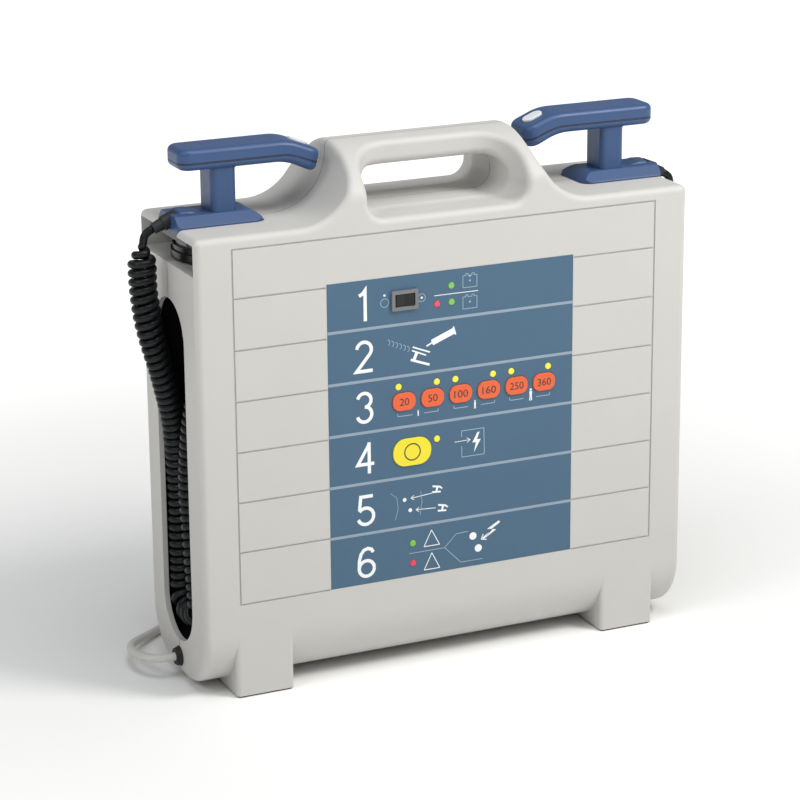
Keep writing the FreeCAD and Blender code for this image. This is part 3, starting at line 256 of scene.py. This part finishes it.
BLUE = (0.030, 0.074, 0.190)
INK_LOOK = dict(grain=0.4, bump=0.003, edge=0.02)
LENS_LOOK = dict(grain=1.0, bump=0.004, coat=0.6)
MATERIALS = {
    "case": material("case_shell", (0.56, 0.548, 0.525), 0.55, grain=0.7, bump=0.035, blotch=0.03, edge=0.6,
                     line=seam_line),
    "overlay": material("overlay_sheet", (0.052, 0.121, 0.198), 0.5, grain=0.5, bump=0.008, blotch=0.05),
    "separator": material("overlay_band", (0.27, 0.34, 0.42), 0.5, grain=0.5, bump=0.004),
    "white_print": material("white_ink", (0.86, 0.88, 0.88), 0.5, blotch=0.03, **INK_LOOK),
    "faint_print": material("faint_ink", (0.34, 0.45, 0.54), 0.5, **INK_LOOK),
    "dark_print": material("dark_ink", (0.045, 0.03, 0.025), 0.5, **INK_LOOK),
    "orange": material("orange_key", (0.76, 0.115, 0.030), 0.42, grain=0.6, bump=0.01),
    "yellow": material("yellow_key", (0.86, 0.72, 0.02), 0.42, grain=0.6, bump=0.01),
    "paddle": material("paddle_shell", BLUE, 0.45, grain=0.6, bump=0.03, blotch=0.08, edge=0.5),
    "grip": material("grip_shell", BLUE, 0.42, grain=0.6, bump=0.03, blotch=0.08, edge=0.6,
                     line=grip_line),
    "white_button": material("button", (0.72, 0.74, 0.76), 0.4, grain=0.6, bump=0.01),
    "black_rubber": material("black_rubber", (0.014, 0.014, 0.015), 0.55, grain=0.5, bump=0.02, blotch=0.2,
                             shine=0.3),
    "grey_rubber": material("grey_rubber", (0.018, 0.019, 0.022), 0.5, grain=0.5, bump=0.02, blotch=0.15,
                            shine=0.35),
    "black_plastic": material("black_plastic", (0.010, 0.010, 0.011), 0.28, grain=0.8, bump=0.006, blotch=0.2,
                              shine=0.3),
    "liner": material("recess_liner", (0.008, 0.008, 0.009), 0.7, grain=1.2, bump=0.05, blotch=0.3,
                      shine=0.2),
    "bezel": material("switch_bezel", (0.16, 0.165, 0.17), 0.35, grain=0.5, bump=0.01),
    "cord": material("cord_sheath", (0.008, 0.009, 0.010), 0.3, grain=1.5, bump=0.01, blotch=0.2, edge=0.05,
                     shine=0.22),
    "lead": material("mains_sheath", (0.62, 0.61, 0.58), 0.42, grain=1.2, bump=0.01, blotch=0.05,
                     edge=0.05),
    "steel": material("brushed_steel", (0.56, 0.56, 0.55), 0.3, grain=0.25, bump=0.01, metal=1.0,
                      stretch=(1, 30, 1)),
    "neck": material("neck_steel", (0.30, 0.31, 0.33), 0.38, grain=0.3, bump=0.01, metal=1.0,
                     stretch=(1, 1, 12)),
    "brass": material("contact_brass", (0.72, 0.55, 0.25), 0.28, grain=0.4, bump=0.01, metal=1.0),
    "aluminium": material("chassis_sheet", (0.72, 0.72, 0.73), 0.4, grain=0.4, bump=0.01, metal=1.0),
    "board": material("circuit_board", (0.015, 0.13, 0.05), 0.35, grain=2.2, bump=0.03, blotch=0.3),
    "can": material("capacitor_can", (0.42, 0.43, 0.45), 0.4, grain=0.8, bump=0.01),
    "copper": material("enamelled_winding", (0.35, 0.11, 0.03), 0.25, grain=0.5, bump=0.1,
                       stretch=(1, 18, 1)),
    "wrap": material("battery_wrap", (0.03, 0.07, 0.22), 0.25, grain=3.0, bump=0.05),
    "relay": material("relay_case", (0.45, 0.38, 0.22), 0.2, grain=1.0, bump=0.01),
    "lens_green": material("green_lens", (0.17, 0.48, 0.03), 0.16, **LENS_LOOK),
    "lens_yellow": material("yellow_lens", (0.88, 0.78, 0.02), 0.16, **LENS_LOOK),
    "lens_red": material("red_lens", (0.72, 0.03, 0.07), 0.16, **LENS_LOOK),
}
# the finish of each CAD node whose name starts with the key; the longest key that fits counts
FINISH_OF_NODE = {
    "front_shell": "case", "rear_shell": "case", "foot_pads": "black_rubber", "control_overlay": "overlay",
    "charge_key": "yellow", "power_switch_frame": "bezel", "power_rocker": "black_plastic",
    "lamps_green": "lens_green", "lamps_yellow": "lens_yellow", "lamps_red": "lens_red",
    "keypad_board": "board", "main_board": "board", "chassis_plate": "aluminium", "storage_capacitor": "can",
    "capacitor_strap": "steel", "discharge_inductor": "copper", "charging_transformer": "steel",
    "battery_pack": "wrap", "discharge_relay": "relay", "case_screws": "steel", "mains_gland": "black_rubber",
    "mains_plug": "lead", "energy_key": "orange", "base_cover": "paddle", "cable_boot": "grey_rubber",
    "cable_liner": "liner", "cord_socket": "black_plastic", "discharge_button": "white_button",
    "electrode_carrier": "black_plastic", "electrode_neck": "neck", "electrode_rim": "black_plastic",
    "electrode_plate": "steel", "grip_lower": "grip", "grip_upper": "grip", "test_contact": "brass",
    "curly_cord": "cord", "mains_lead": "lead",
}


def dress(thing, finish):
    thing.data.materials.clear()
    thing.data.materials.append(MATERIALS[finish])


for node_name, node in NODES.items():
    stem = max((key for key in FINISH_OF_NODE if node_name.startswith(key)), key=len)
    dress(node, FINISH_OF_NODE[stem])


# ---------------------------------------------------------------- helpers for new pieces

def mesh_piece(name, bm, finish, body, smooth=False):
    bmesh.ops.recalc_face_normals(bm, faces=bm.faces)
    data = bpy.data.meshes.new(name)
    bm.to_mesh(data)
    bm.free()
    for face in data.polygons:
        face.use_smooth = smooth
    thing = link(name, data)
    dress(thing, finish)
    if body:
        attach(thing, body)
    return thing


def route_spline(name, points):
    """NURBS curve of order 3 whose control points are the given ones."""
    curve = bpy.data.curves.new(name, "CURVE")
    curve.dimensions = "3D"
    curve.resolution_u = 12
    spline = curve.splines.new("NURBS")
    spline.points.add(len(points) - 1)
    for target, point in zip(spline.points, points):
        target.co = (*point, 1)
    spline.order_u = 3
    spline.use_endpoint_u = True
    return curve


def mesh_of(name, curve):
    """The mesh that a curve or a text makes."""
    holder = link(name, curve)
    bpy.context.view_layer.update()
    mesh = bpy.data.meshes.new_from_object(holder.evaluated_get(bpy.context.evaluated_depsgraph_get()))
    bpy.data.objects.remove(holder)
    return mesh


def points_along(points):
    """Points read from the NURBS spline of a route."""
    mesh = mesh_of("guide", route_spline("guide", points))
    found = [vertex.co.copy() for vertex in mesh.vertices]
    bpy.data.meshes.remove(mesh)
    return found


def evenly(points, step):
    """The same line, with points a step apart, and how far along each one is."""
    line = [points[0]]
    reached = [0.0]
    left = step
    travelled = 0.0
    for start, end in zip(points, points[1:]):
        run = (end - start).length
        done = 0.0
        while run - done >= left:
            done += left
            line.append(start.lerp(end, done / run))
            reached.append(travelled + done)
            left = step
        left -= run - done
        travelled += run
    line.append(points[-1])
    reached.append(travelled)
    return line, reached


def carried_frames(line):
    """A direction and two normals at each point of a line, carried along it without twist."""
    frames = []
    normal = None
    for here in range(len(line)):
        ahead = (line[min(here + 1, len(line) - 1)] - line[max(here - 1, 0)]).normalized()
        if normal is None:
            normal = ahead.orthogonal().normalized()
        else:
            normal = (normal - ahead * normal.dot(ahead)).normalized()
        frames.append((ahead, normal, ahead.cross(normal)))
    return frames


def tube_mesh(line, radius, sides):
    """Closed tube of one radius round a line, with flat ends."""
    bm = bmesh.new()
    rings = []
    for point, (_, normal, binormal) in zip(line, carried_frames(line)):
        ring = []
        for side in range(sides):
            angle = 2 * math.pi * side / sides
            outward = math.cos(angle) * normal + math.sin(angle) * binormal
            ring.append(bm.verts.new(point + radius * outward))
        rings.append(ring)
    for first, second in zip(rings, rings[1:]):
        for side in range(sides):
            after = (side + 1) % sides
            bm.faces.new((first[side], first[after], second[after], second[side]))
    bm.faces.new(list(reversed(rings[0])))
    bm.faces.new(rings[-1])
    return bm


# ---------------------------------------------------------------- curly cords

# the right cord's axis in mm about the seam: the boot's sleeve, the part outside, the part in the recess
BOOT_START = (194, 352.4)
BOOT_REACH = 15
BOOT_RUN_ON = 6.6
HANGING_ROUTE = [(215.7, 0, 337), (217, 0.3, 318), (216.4, 0, 298), (213.2, 0.8, 277), (208, 3, 256),
                 (201, 8, 236)]
RECESS_ROUTE = [(193.5, 14.5, 214), (187.5, 21, 190), (183.7, 26, 162), (183.4, 27, 132),
                (183.7, 26.2, 102), (183.5, 27, 74), (184, 24, 48), (184, -12, 48), (184, -10, 78),
                (184.3, -3.5, 106), (184, 1, 134), (184.2, -3.5, 178), (182.2, -11, 212), (180, -17, 240),
                (180, -17, 251)]
WIRE_RADIUS = 3.0 * MM
HELIX_RADIUS = 7.5 * MM
TURN_PITCH = 6.45 * MM
LEAD_IN = 13 * MM         # straight wire before the first turn and after the last one
LEAD_OUT = 12 * MM
RAMP = 15 * MM            # length in which the turns grow to their full width
TIGHT_BEND = 1 / 0.06     # curvature of the axis from which the turns are spaced wider
SMALLEST_SPREAD = 0.42
AXIS_STEP = 0.35 * MM
BEND_SPAN = 8             # steps to each side over which the axis's curvature is measured
WIRE_STEP = 1.5 * MM
WIRE_SIDES = 10


def smooth_step(share):
    return share * share * (3 - 2 * share)


def curly_cord(side, sign):
    """The cord as one helix of wire: out of the boot, down, into the recess and back up to its socket."""
    cos, sin = math.cos(DROOP), math.sin(DROOP)
    boot_tip = Vector((BOOT_START[0] + BOOT_REACH * cos, 0, BOOT_START[1] - BOOT_REACH * sin))
    run_on = Vector((cos, 0, -sin)) * BOOT_RUN_ON
    route = [boot_tip, boot_tip + run_on] + HANGING_ROUTE + RECESS_ROUTE
    placed = [Vector((sign * x * MM, SEAM + y * MM, z * MM)) for x, y, z in route]
    axis, reached = evenly(points_along(placed), AXIS_STEP)
    frames = carried_frames(axis)
    total = reached[-1]
    line = []
    turn = 0.0
    for here, (point, (ahead, normal, binormal)) in enumerate(zip(axis, frames)):
        along = reached[here]
        before = frames[max(here - BEND_SPAN, 0)][0]
        after = frames[min(here + BEND_SPAN, len(frames) - 1)][0]
        curving = before.angle(after, 0.0) / (2 * BEND_SPAN * AXIS_STEP)
        spread = 1 - HELIX_RADIUS * curving if curving > TIGHT_BEND else 1.0
        pitch = TURN_PITCH / max(SMALLEST_SPREAD, spread)
        if LEAD_IN < along < total - LEAD_OUT:
            turn += 2 * math.pi * AXIS_STEP / pitch
        rise = min(1.0, max(0.0, (along - LEAD_IN) / RAMP))
        fall = min(1.0, max(0.0, (total - LEAD_OUT - along) / RAMP))
        loose = 1 + 0.05 * math.sin(along / (23 * MM)) + 0.03 * math.sin(along / (9.5 * MM))
        radius = HELIX_RADIUS * smooth_step(min(rise, fall)) * min(loose, 1.04)
        line.append(point + radius * (math.cos(turn) * normal + math.sin(turn) * binormal))
    line, lengths = evenly(line, WIRE_STEP)
    tube = tube_mesh(line, WIRE_RADIUS, WIRE_SIDES)
    cord = mesh_piece("curly_cord_wire_" + side, tube, "cord", None, smooth=True)
    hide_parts("curly_cord_%s_hanging" % side, "curly_cord_%s_stored" % side)
    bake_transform(cord)


for side_name, side_sign in SIDES:
    curly_cord(side_name, side_sign)


# ---------------------------------------------------------------- mains lead

# the lead's axis in mm about the seam: out of the grommet to the coil, and from the coil to the plug
MAINS_ROUTE = [(-202, 0, 17.5), (-212.5, 0, 17.5), (-221.5, 11, 16), (-224.5, 26, 14), (-222.5, 43, 11.5),
               (-215, 60, 8.5), (-202, 74, 5.5), (-187, 86, 3.9), (-171, 99.5, 3.3), (-155.5, 115, 3.3)]
TAIL_ROUTE = [(-82, 138.7, 15.6), (-69, 136, 18), (-58, 135, 19.05), (-47, 134.8, 19.05)]
LEAD_RADIUS = 3.25 * MM
COIL_CENTRE = (-110, 103.4)
COIL_START = (-139.9, 133.3)
# height and radius of each turn of the coil, from the first one on the floor to the last one on top
COIL_LAYERS = [(3.3, 42.3), (3.3, 35.8), (3.3, 29.4), (8.95, 32.5), (8.95, 39.0), (14.5, 35.8), (14.5, 42.3)]
COIL_TURNS = 7.181
COIL_STEPS = 24           # points in each turn
CROSSING = 0.25           # share of a turn in which it crosses to the next one


def coil_points():
    """The wound length: clockwise turns, each of one radius, with a short crossing to the next."""
    start_angle = math.atan2(COIL_START[1] - COIL_CENTRE[1], COIL_START[0] - COIL_CENTRE[0])
    count = round(COIL_TURNS * COIL_STEPS)
    points = []
    for step in range(count + 1):
        turns = COIL_TURNS * step / count
        place = min(int(turns), len(COIL_LAYERS) - 1)
        height, radius = COIL_LAYERS[place]
        if place + 1 < len(COIL_LAYERS):
            share = smooth_step(max(0.0, (turns - place - (1 - CROSSING)) / CROSSING))
            height += share * (COIL_LAYERS[place + 1][0] - height)
            radius += share * (COIL_LAYERS[place + 1][1] - radius)
        angle = start_angle - 2 * math.pi * turns
        points.append((COIL_CENTRE[0] + radius * math.cos(angle), COIL_CENTRE[1] + radius * math.sin(angle),
                       height))
    return points


def mains_lead():
    route = MAINS_ROUTE + coil_points() + TAIL_ROUTE
    points = [Vector((x * MM, SEAM + y * MM, z * MM)) for x, y, z in route]
    curve = route_spline("mains_lead_sheath", points)
    curve.bevel_depth = LEAD_RADIUS
    curve.bevel_resolution = 4
    curve.resolution_u = 6
    curve.use_fill_caps = True
    lead = link("mains_lead_sheath", curve)
    curve.materials.append(MATERIALS["lead"])
    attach(lead, "case")
    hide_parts("mains_lead", "mains_lead_coil", "mains_lead_end")
    line = points_along(points)


mains_lead()


# ---------------------------------------------------------------- printing on the front

# all shapes below are drawn on the front as x and z in mm
INK = 0.07 * MM
SUNK = INK / 4            # how far the ink reaches into what it is printed on
FINE = 0.45               # widths of the drawings' lines
THIN = 0.5


def thin_prism(bm, outline, face_y, thick):
    """Adds a flat shape as a thin closed solid just proud of face_y."""
    near = [bm.verts.new((x * MM, face_y - thick, z * MM)) for x, z in outline]
    far = [bm.verts.new((x * MM, face_y + SUNK, z * MM)) for x, z in outline]
    bm.faces.new(near)
    bm.faces.new(list(reversed(far)))
    count = len(outline)
    for here in range(count):
        after = (here + 1) % count
        bm.faces.new((near[here], far[here], far[after], near[after]))


def stroke(start, end, width):
    """A straight line of ink as four corners."""
    (x0, z0), (x1, z1) = start, end
    length = math.hypot(x1 - x0, z1 - z0)
    across = (-(z1 - z0) / length * width / 2, (x1 - x0) / length * width / 2)
    return [(x0 - across[0], z0 - across[1]), (x1 - across[0], z1 - across[1]),
            (x1 + across[0], z1 + across[1]), (x0 + across[0], z0 + across[1])]


def polyline(points, width, closed=False):
    pairs = list(zip(points, points[1:]))
    if closed:
        pairs.append((points[-1], points[0]))
    return [stroke(start, end, width) for start, end in pairs]


def disc(centre, radius, sides=28):
    return [(centre[0] + radius * math.cos(2 * math.pi * side / sides),
             centre[1] + radius * math.sin(2 * math.pi * side / sides)) for side in range(sides)]


def arc(centre, radius, start, end, steps=14):
    """Points along part of a circle, from one angle to another in degrees."""
    angles = [math.radians(start + (end - start) * step / steps) for step in range(steps + 1)]
    return [(centre[0] + radius * math.cos(angle), centre[1] + radius * math.sin(angle)) for angle in angles]


def ring(centre, radius, width, sides=36, start=0.0, end=360.0):
    """A circle or an arc of ink as short strokes."""
    return polyline(arc(centre, radius, start, end, sides), width)


def ribbon(points, width):
    """An open line of ink as one outline with mitred corners."""
    near, far = [], []
    runs = [Vector((end[0] - start[0], end[1] - start[1])) for start, end in zip(points, points[1:])]
    for place, (x, z) in enumerate(points):
        first = runs[max(place - 1, 0)].normalized()
        second = runs[min(place, len(runs) - 1)].normalized()
        across = Vector((-first.y - second.y, first.x + second.x)).normalized()
        reach = width / 2 / max(0.35, across.dot(Vector((-first.y, first.x))))
        near.append((x + across.x * reach, z + across.y * reach))
        far.append((x - across.x * reach, z - across.y * reach))
    return near + far[::-1]


def printed(name, outlines, finish, body="case", face_y=SHEET_FACE):
    """Ink shapes as one piece; neighbours that overlap differ a little in thickness."""
    bm = bmesh.new()
    for place, outline in enumerate(outlines):
        thin_prism(bm, outline, face_y, INK * (1 + 0.1 * (place % 7)))
    thing = mesh_piece(name, bm, finish, body)
    return thing


def numeral(name, text, centre, tall, wide, finish, body, face_y):
    """A number in Blender's own font, drawn tall by wide mm about its centre."""
    curve = bpy.data.curves.new(name, "FONT")
    curve.body = text
    curve.size = 1.0
    curve.resolution_u = 6
    flat = mesh_of(name + "_outline", curve)
    xs = [vertex.co.x for vertex in flat.vertices]
    ys = [vertex.co.y for vertex in flat.vertices]
    scale_x = wide / (max(xs) - min(xs))
    scale_z = tall / (max(ys) - min(ys))
    bm = bmesh.new()
    bm.from_mesh(flat)
    bpy.data.meshes.remove(flat)
    bmesh.ops.remove_doubles(bm, verts=bm.verts, dist=1e-5)
    for vertex in bm.verts:
        across = (vertex.co.x - (min(xs) + max(xs)) / 2) * scale_x + centre[0]
        up = (vertex.co.y - (min(ys) + max(ys)) / 2) * scale_z + centre[1]
        vertex.co = (across * MM, face_y - INK, up * MM)
    made = bmesh.ops.extrude_face_region(bm, geom=list(bm.faces))
    for item in made["geom"]:
        if isinstance(item, bmesh.types.BMVert):
            item.co.y += INK + SUNK
    thing = mesh_piece(name, bm, finish, body)
    return thing


def field_digits():
    """The middle lines of the strokes of 1 to 6, in mm about the digit's centre."""
    one = [[(-3.6, 7.2), (-0.8, 8.6), (1.2, 11.0), (1.2, -12.0)]]
    two = [arc((-0.1, 5.2), 5.8, 172, -38) + [(-6.3, -10.9), (6.6, -10.9)]]
    three = [arc((-0.4, 5.5), 5.4, 165, -84), arc((-0.3, -5.2), 5.8, 86, -165)]
    four = [[(3.0, -12.0), (3.0, 12.0)], [(3.2, 10.8), (-6.2, -4.6), (7.0, -4.6)]]
    five = [[(5.6, 10.9), (-4.2, 10.9), (-5.3, 0.2)], arc((-0.3, -4.4), 6.4, 142, -160)]
    six = [[(5.4, 7.4), (4.0, 9.9), (1.0, 10.9), (-2.2, 9.9), (-4.6, 6.8), (-5.9, 2.0), (-6.1, -4.6)],
           arc((0.0, -4.7), 6.1, 0, 359, 28)]
    return one, two, three, four, five, six


DIGIT_X = -69.5
DIGIT_HEIGHTS = (287.6, 249.0, 210.4, 171.4, 130.9, 90.1)
DIGIT_STROKE = 2.6
BANDS = 5
FIRST_BAND = 269.7
BAND_PITCH = 39.24
BAND_HALF = 1.1
BAND_MARGIN = 0.1


def front_printing():
    """The bands between the fields and the number of each field."""
    low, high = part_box("control_overlay")
    left, right = low.x / MM + BAND_MARGIN, high.x / MM - BAND_MARGIN
    bands = []
    for row in range(BANDS):
        middle = FIRST_BAND - BAND_PITCH * row
        under, over = middle - BAND_HALF, middle + BAND_HALF
        bands.append([(left, under), (right, under), (right, over), (left, over)])
    printed("field_bands", bands, "separator")
    for place, (height, lines) in enumerate(zip(DIGIT_HEIGHTS, field_digits()), 1):
        outlines = [ribbon([(DIGIT_X + x, height + z) for x, z in line], DIGIT_STROKE) for line in lines]
        printed("field_number_%d" % place, outlines, "white_print")


ENERGIES = (20, 50, 100, 160, 250, 360)
KEY_NUMBER_TALL = 5.6
KEY_NUMBER_WIDE = {2: 7.6, 3: 11.2}     # by count of digits
CHARGE_CIRCLE = (6.3, 0.9)              # radius and line width


def key_face(node):
    """Middle of a key's front, as x and z in mm, and where its front is in y."""
    low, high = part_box(node)
    return ((low.x + high.x) / 2 / MM, (low.z + high.z) / 2 / MM), low.y


def key_printing():
    for energy in ENERGIES:
        centre, face_y = key_face("energy_key_%d" % energy)
        text = str(energy)
        numeral("number_on_key_" + text, text, centre, KEY_NUMBER_TALL, KEY_NUMBER_WIDE[len(text)],
                "dark_print", "key_" + text, face_y)
    centre, face_y = key_face("charge_key")
    circle = ring(centre, *CHARGE_CIRCLE)
    printed("circle_on_charge_key", circle, "dark_print", "charge_key", face_y)


def arrow(tail, tip, width, head):
    """A line with an open arrow head."""
    angle = math.atan2(tip[1] - tail[1], tip[0] - tail[0])
    strokes = [stroke(tail, tip, width)]
    for turn in (-0.6, 0.6):
        barb = (tip[0] - head * math.cos(angle + turn), tip[1] - head * math.sin(angle + turn))
        strokes.append(stroke(barb, tip, width))
    return strokes


def person(centre, tall):
    """Standing figure: head, body and legs."""
    x, z = centre
    head = disc((x, z + tall * 0.40), tall * 0.10, 14)
    body = [(x - tall * 0.13, z + tall * 0.26), (x + tall * 0.13, z + tall * 0.26),
            (x + tall * 0.09, z - tall * 0.08), (x - tall * 0.09, z - tall * 0.08)]
    legs = [stroke((x - tall * 0.05, z - tall * 0.06), (x - tall * 0.08, z - tall * 0.5), tall * 0.09),
            stroke((x + tall * 0.05, z - tall * 0.06), (x + tall * 0.08, z - tall * 0.5), tall * 0.09)]
    return [head, body] + legs


def battery(centre, drops):
    """Outline of a battery with two poles, and a dot at each of the given heights above its centre."""
    x, z = centre
    outline = [(x - 5.7, z - 5), (x + 5.7, z - 5), (x + 5.7, z + 4), (x + 3.4, z + 4), (x + 3.4, z + 5.4),
               (x + 1.6, z + 5.4), (x + 1.6, z + 4), (x - 1.6, z + 4), (x - 1.6, z + 5.4), (x - 3.4, z + 5.4),
               (x - 3.4, z + 4), (x - 5.7, z + 4)]
    return polyline(outline, FINE, closed=True) + [disc((x, z + offset), 0.75, 12) for offset in drops]


def paddle_icon(corner):
    """Small side view of a paddle: face, post and drooping grip."""
    x, z = corner
    face = [(x, z), (x + 7, z - 0.6), (x + 7, z - 1.9), (x, z - 1.4)]
    post = stroke((x + 3.4, z - 1), (x + 4.4, z + 3.4), 1.6)
    grip = [(x + 0.4, z + 4.6), (x + 6.6, z + 3.4), (x + 8.6, z + 1.4), (x + 7.9, z + 0.7), (x + 6, z + 2.0),
            (x + 0.2, z + 3.2)]
    return [face, post, grip]


# each field's drawing comes as its bright shapes and its faint ones

def field_1():
    """Marks beside the power switch, and two batteries over and under a line."""
    bright = [disc((-53, 293), 0.9, 12), disc((-23.3, 287.8), 0.9, 12),
              stroke((-13.2, 288), (22.3, 287.9), THIN)]
    faint = ring((-52.9, 287.3), 3.2, FINE) + ring((-23.3, 287.8), 2.9, FINE)
    faint += battery((15.7, 296.3), (3.4, 0.0)) + battery((15.7, 280.2), (0.0,))
    return bright, faint


def field_2():
    """Gel on a paddle: a curly cord, the paddle and a tube."""
    faint = []
    for place in range(6):
        centre = (-51.2 + 3.1 * place, 257.2 - 1.35 * place)
        faint += ring(centre, 2.2, FINE, sides=12, start=-70, end=80)
    paddle = [stroke((-30.8, 251.4), (-16.9, 245.8), 1.1), stroke((-31.4, 248.8), (-20.1, 243.9), 1.1),
              stroke((-27.4, 247.2), (-29.8, 241.5), 2.4), stroke((-32.4, 241.9), (-17.3, 236.3), 1.8)]
    gel_tube = [stroke((-15.2, 252.8), (3.5, 260.0), 4.6), stroke((-19.7, 250.6), (-15.0, 252.9), 1.2),
                stroke((4.0, 256.6), (2.2, 262.9), 1.1)]
    return paddle + gel_tube, faint


def field_3():
    """Three persons of growing size, with a bracket on each side of each one."""
    bright, faint = [], []
    for centre, tall in (((-26.7, 200.4), 4.6), ((19.8, 200.8), 6.6), ((66.2, 202.2), 9.4)):
        bright += person(centre, tall)
    for bracket in ([(-43.4, 201.8), (-43.0, 199.8), (-31.2, 199.7)],
                    [(-21.8, 199.8), (-10.6, 199.8), (-10.2, 201.8)],
                    [(2.3, 202.0), (2.7, 199.8), (14.2, 199.8)],
                    [(24.6, 199.9), (35.9, 199.9), (36.3, 201.9)],
                    [(48.5, 201.9), (48.9, 199.8), (60.2, 199.8)],
                    [(70.8, 199.8), (82.0, 199.8), (82.4, 201.8)]):
        faint += polyline(bracket, THIN)
    return bright, faint


def field_4():
    """An arrow into a box with a flash in it."""
    flash = [(21.8, 178.9), (17.6, 171.2), (20.6, 171.2), (18.9, 163.4), (24.6, 173.2), (21.4, 173.2),
             (23.6, 178.9)]
    box = [(8.9, 176.6), (8.7, 181.5), (27.2, 181.5), (27.6, 161.0), (9.0, 161.0), (8.8, 169.4)]
    return arrow((3.0, 173.5), (15.9, 173.8), FINE, 3.4) + [flash], polyline(box, THIN)


def field_5():
    """Where the two paddles are put on the chest."""
    bright = [disc((-38.2, 134.4), 1.5, 16), disc((-33.7, 125.7), 1.5, 16)]
    bright += arrow((-15.8, 136.4), (-33.0, 134.9), THIN, 3.0)
    bright += arrow((-12.9, 124.4), (-29.0, 125.3), THIN, 3.0)
    bright += paddle_icon((-15.6, 137.8)) + paddle_icon((-11.0, 122.4))
    side = [(-49.5, 141.0), (-44.5, 137.0), (-43.5, 128.0), (-46.0, 119.5)]
    breastbone = [(-25.0, 139.5), (-24.0, 131.0), (-25.5, 121.0)]
    return bright, polyline(side, 0.35) + polyline(breastbone, 0.35)


def field_6():
    """A triangle beside each lamp, and lines that lead to two dots and a flash."""
    bright = polyline([(-16.3, 107.4), (-22.6, 95.0), (-9.7, 95.0)], 0.6, closed=True)
    bright += polyline([(-16.1, 89.2), (-22.5, 76.4), (-9.6, 76.4)], 0.6, closed=True)
    bright += [disc((18.1, 97.1), 3.0, 20), disc((22.6, 86.8), 3.0, 20)]
    bright += [[(39.7, 106.2), (30.0, 100.8), (34.6, 100.2), (25.6, 94.2), (27.2, 93.2), (37.6, 99.4),
                (33.6, 100.4), (41.0, 104.8)]]
    bright += polyline([(29.6, 92.6), (25.0, 93.4), (26.8, 97.4)], 0.7)
    faint = polyline([(-34.6, 91.4), (-5.5, 91.5), (8.0, 77.8), (26.1, 77.8)], FINE)
    faint += polyline([(-5.5, 91.5), (4.0, 101.0), (14.0, 101.5)], FINE)
    return bright, faint


def pictograms():
    """Generic drawings of the six steps, white on the sheet."""
    bright, faint = [], []
    for field in (field_1, field_2, field_3, field_4, field_5, field_6):
        more_bright, more_faint = field()
        bright += more_bright
        faint += more_faint
    printed("step_drawings", bright, "white_print")
    printed("step_drawings_faint", faint, "faint_print")


front_printing()
key_printing()
pictograms()


# ---------------------------------------------------------------- floor and light

FLOOR_REACH = 12.0
# the floor glows from GLOW_FROM metres away from the object, fully from GLOW_TO on
GLOW_FROM = 0.28
GLOW_TO = 1.3
GLOW = 0.66
WORLD_STRENGTH = 0.34
LIGHT_TARGET = (0, 0, 0.2)
# name, place, size in metres, power in watts and colour of each light
LIGHTS = (("key_light", (1.0, -1.05, 1.65), 0.7, 25, (1.0, 0.985, 0.95)),
          ("top_light", (-0.1, -0.6, 2.1), 1.2, 14, (0.95, 0.98, 1.0)),
          ("left_light", (-1.5, -0.5, 1.5), 0.8, 6.5, (0.95, 0.98, 1.0)))


def make_floor():
    """Pale floor that shows the object's shadow near it and turns to plain white further out."""
    n = Nodes("studio_floor")
    shade = n.mix((0.90, 0.90, 0.89, 1), (0.93, 0.93, 0.925, 1), n.noise(400, 1))
    across, along, _ = n.axes()
    squares = n.math("ADD", n.math("MULTIPLY", across, across), n.math("MULTIPLY", along, along))
    distance = n.math("SQRT", squares)
    glow = n.tree.nodes.new("ShaderNodeMapRange")
    glow.interpolation_type = "SMOOTHSTEP"
    for name, value in (("Value", distance), ("From Min", GLOW_FROM), ("From Max", GLOW_TO),
                        ("To Min", 0.0), ("To Max", GLOW)):
        n.feed(glow.inputs[name], value)
    n.feed(n.shader.inputs["Base Color"], shade)
    n.feed(n.shader.inputs["Emission Strength"], glow.outputs["Result"])
    n.shader.inputs["Emission Color"].default_value = (1, 1, 1, 1)
    n.shader.inputs["Roughness"].default_value = 0.75
    n.shader.inputs["Specular IOR Level"].default_value = 0.2
    bm = bmesh.new()
    corners = ((-1, -1), (1, -1), (1, 1), (-1, 1))
    bm.faces.new([bm.verts.new((x * FLOOR_REACH, y * FLOOR_REACH, 0)) for x, y in corners])
    data = bpy.data.meshes.new("floor")
    bm.to_mesh(data)
    bm.free()
    floor = link("floor", data)
    data.materials.append(n.material)


def area_light(name, place, size, power, colour):
    data = bpy.data.lights.new(name, "AREA")
    data.shape = "DISK"
    data.size = size
    data.energy = power
    data.color = colour
    lamp = link(name, data)
    lamp.location = place
    lamp.rotation_mode = "QUATERNION"
    lamp.rotation_quaternion = (Vector(LIGHT_TARGET) - Vector(place)).to_track_quat("-Z", "Y")


def make_light():
    world = bpy.data.worlds.new("studio")
    world.use_nodes = True
    background = world.node_tree.nodes["Background"]
    background.inputs["Color"].default_value = (1.0, 1.0, 1.0, 1)
    background.inputs["Strength"].default_value = WORLD_STRENGTH
    bpy.context.scene.world = world
    for light in LIGHTS:
        area_light(*light)
    bpy.context.scene.view_settings.view_transform = "Standard"


make_floor()
make_light()
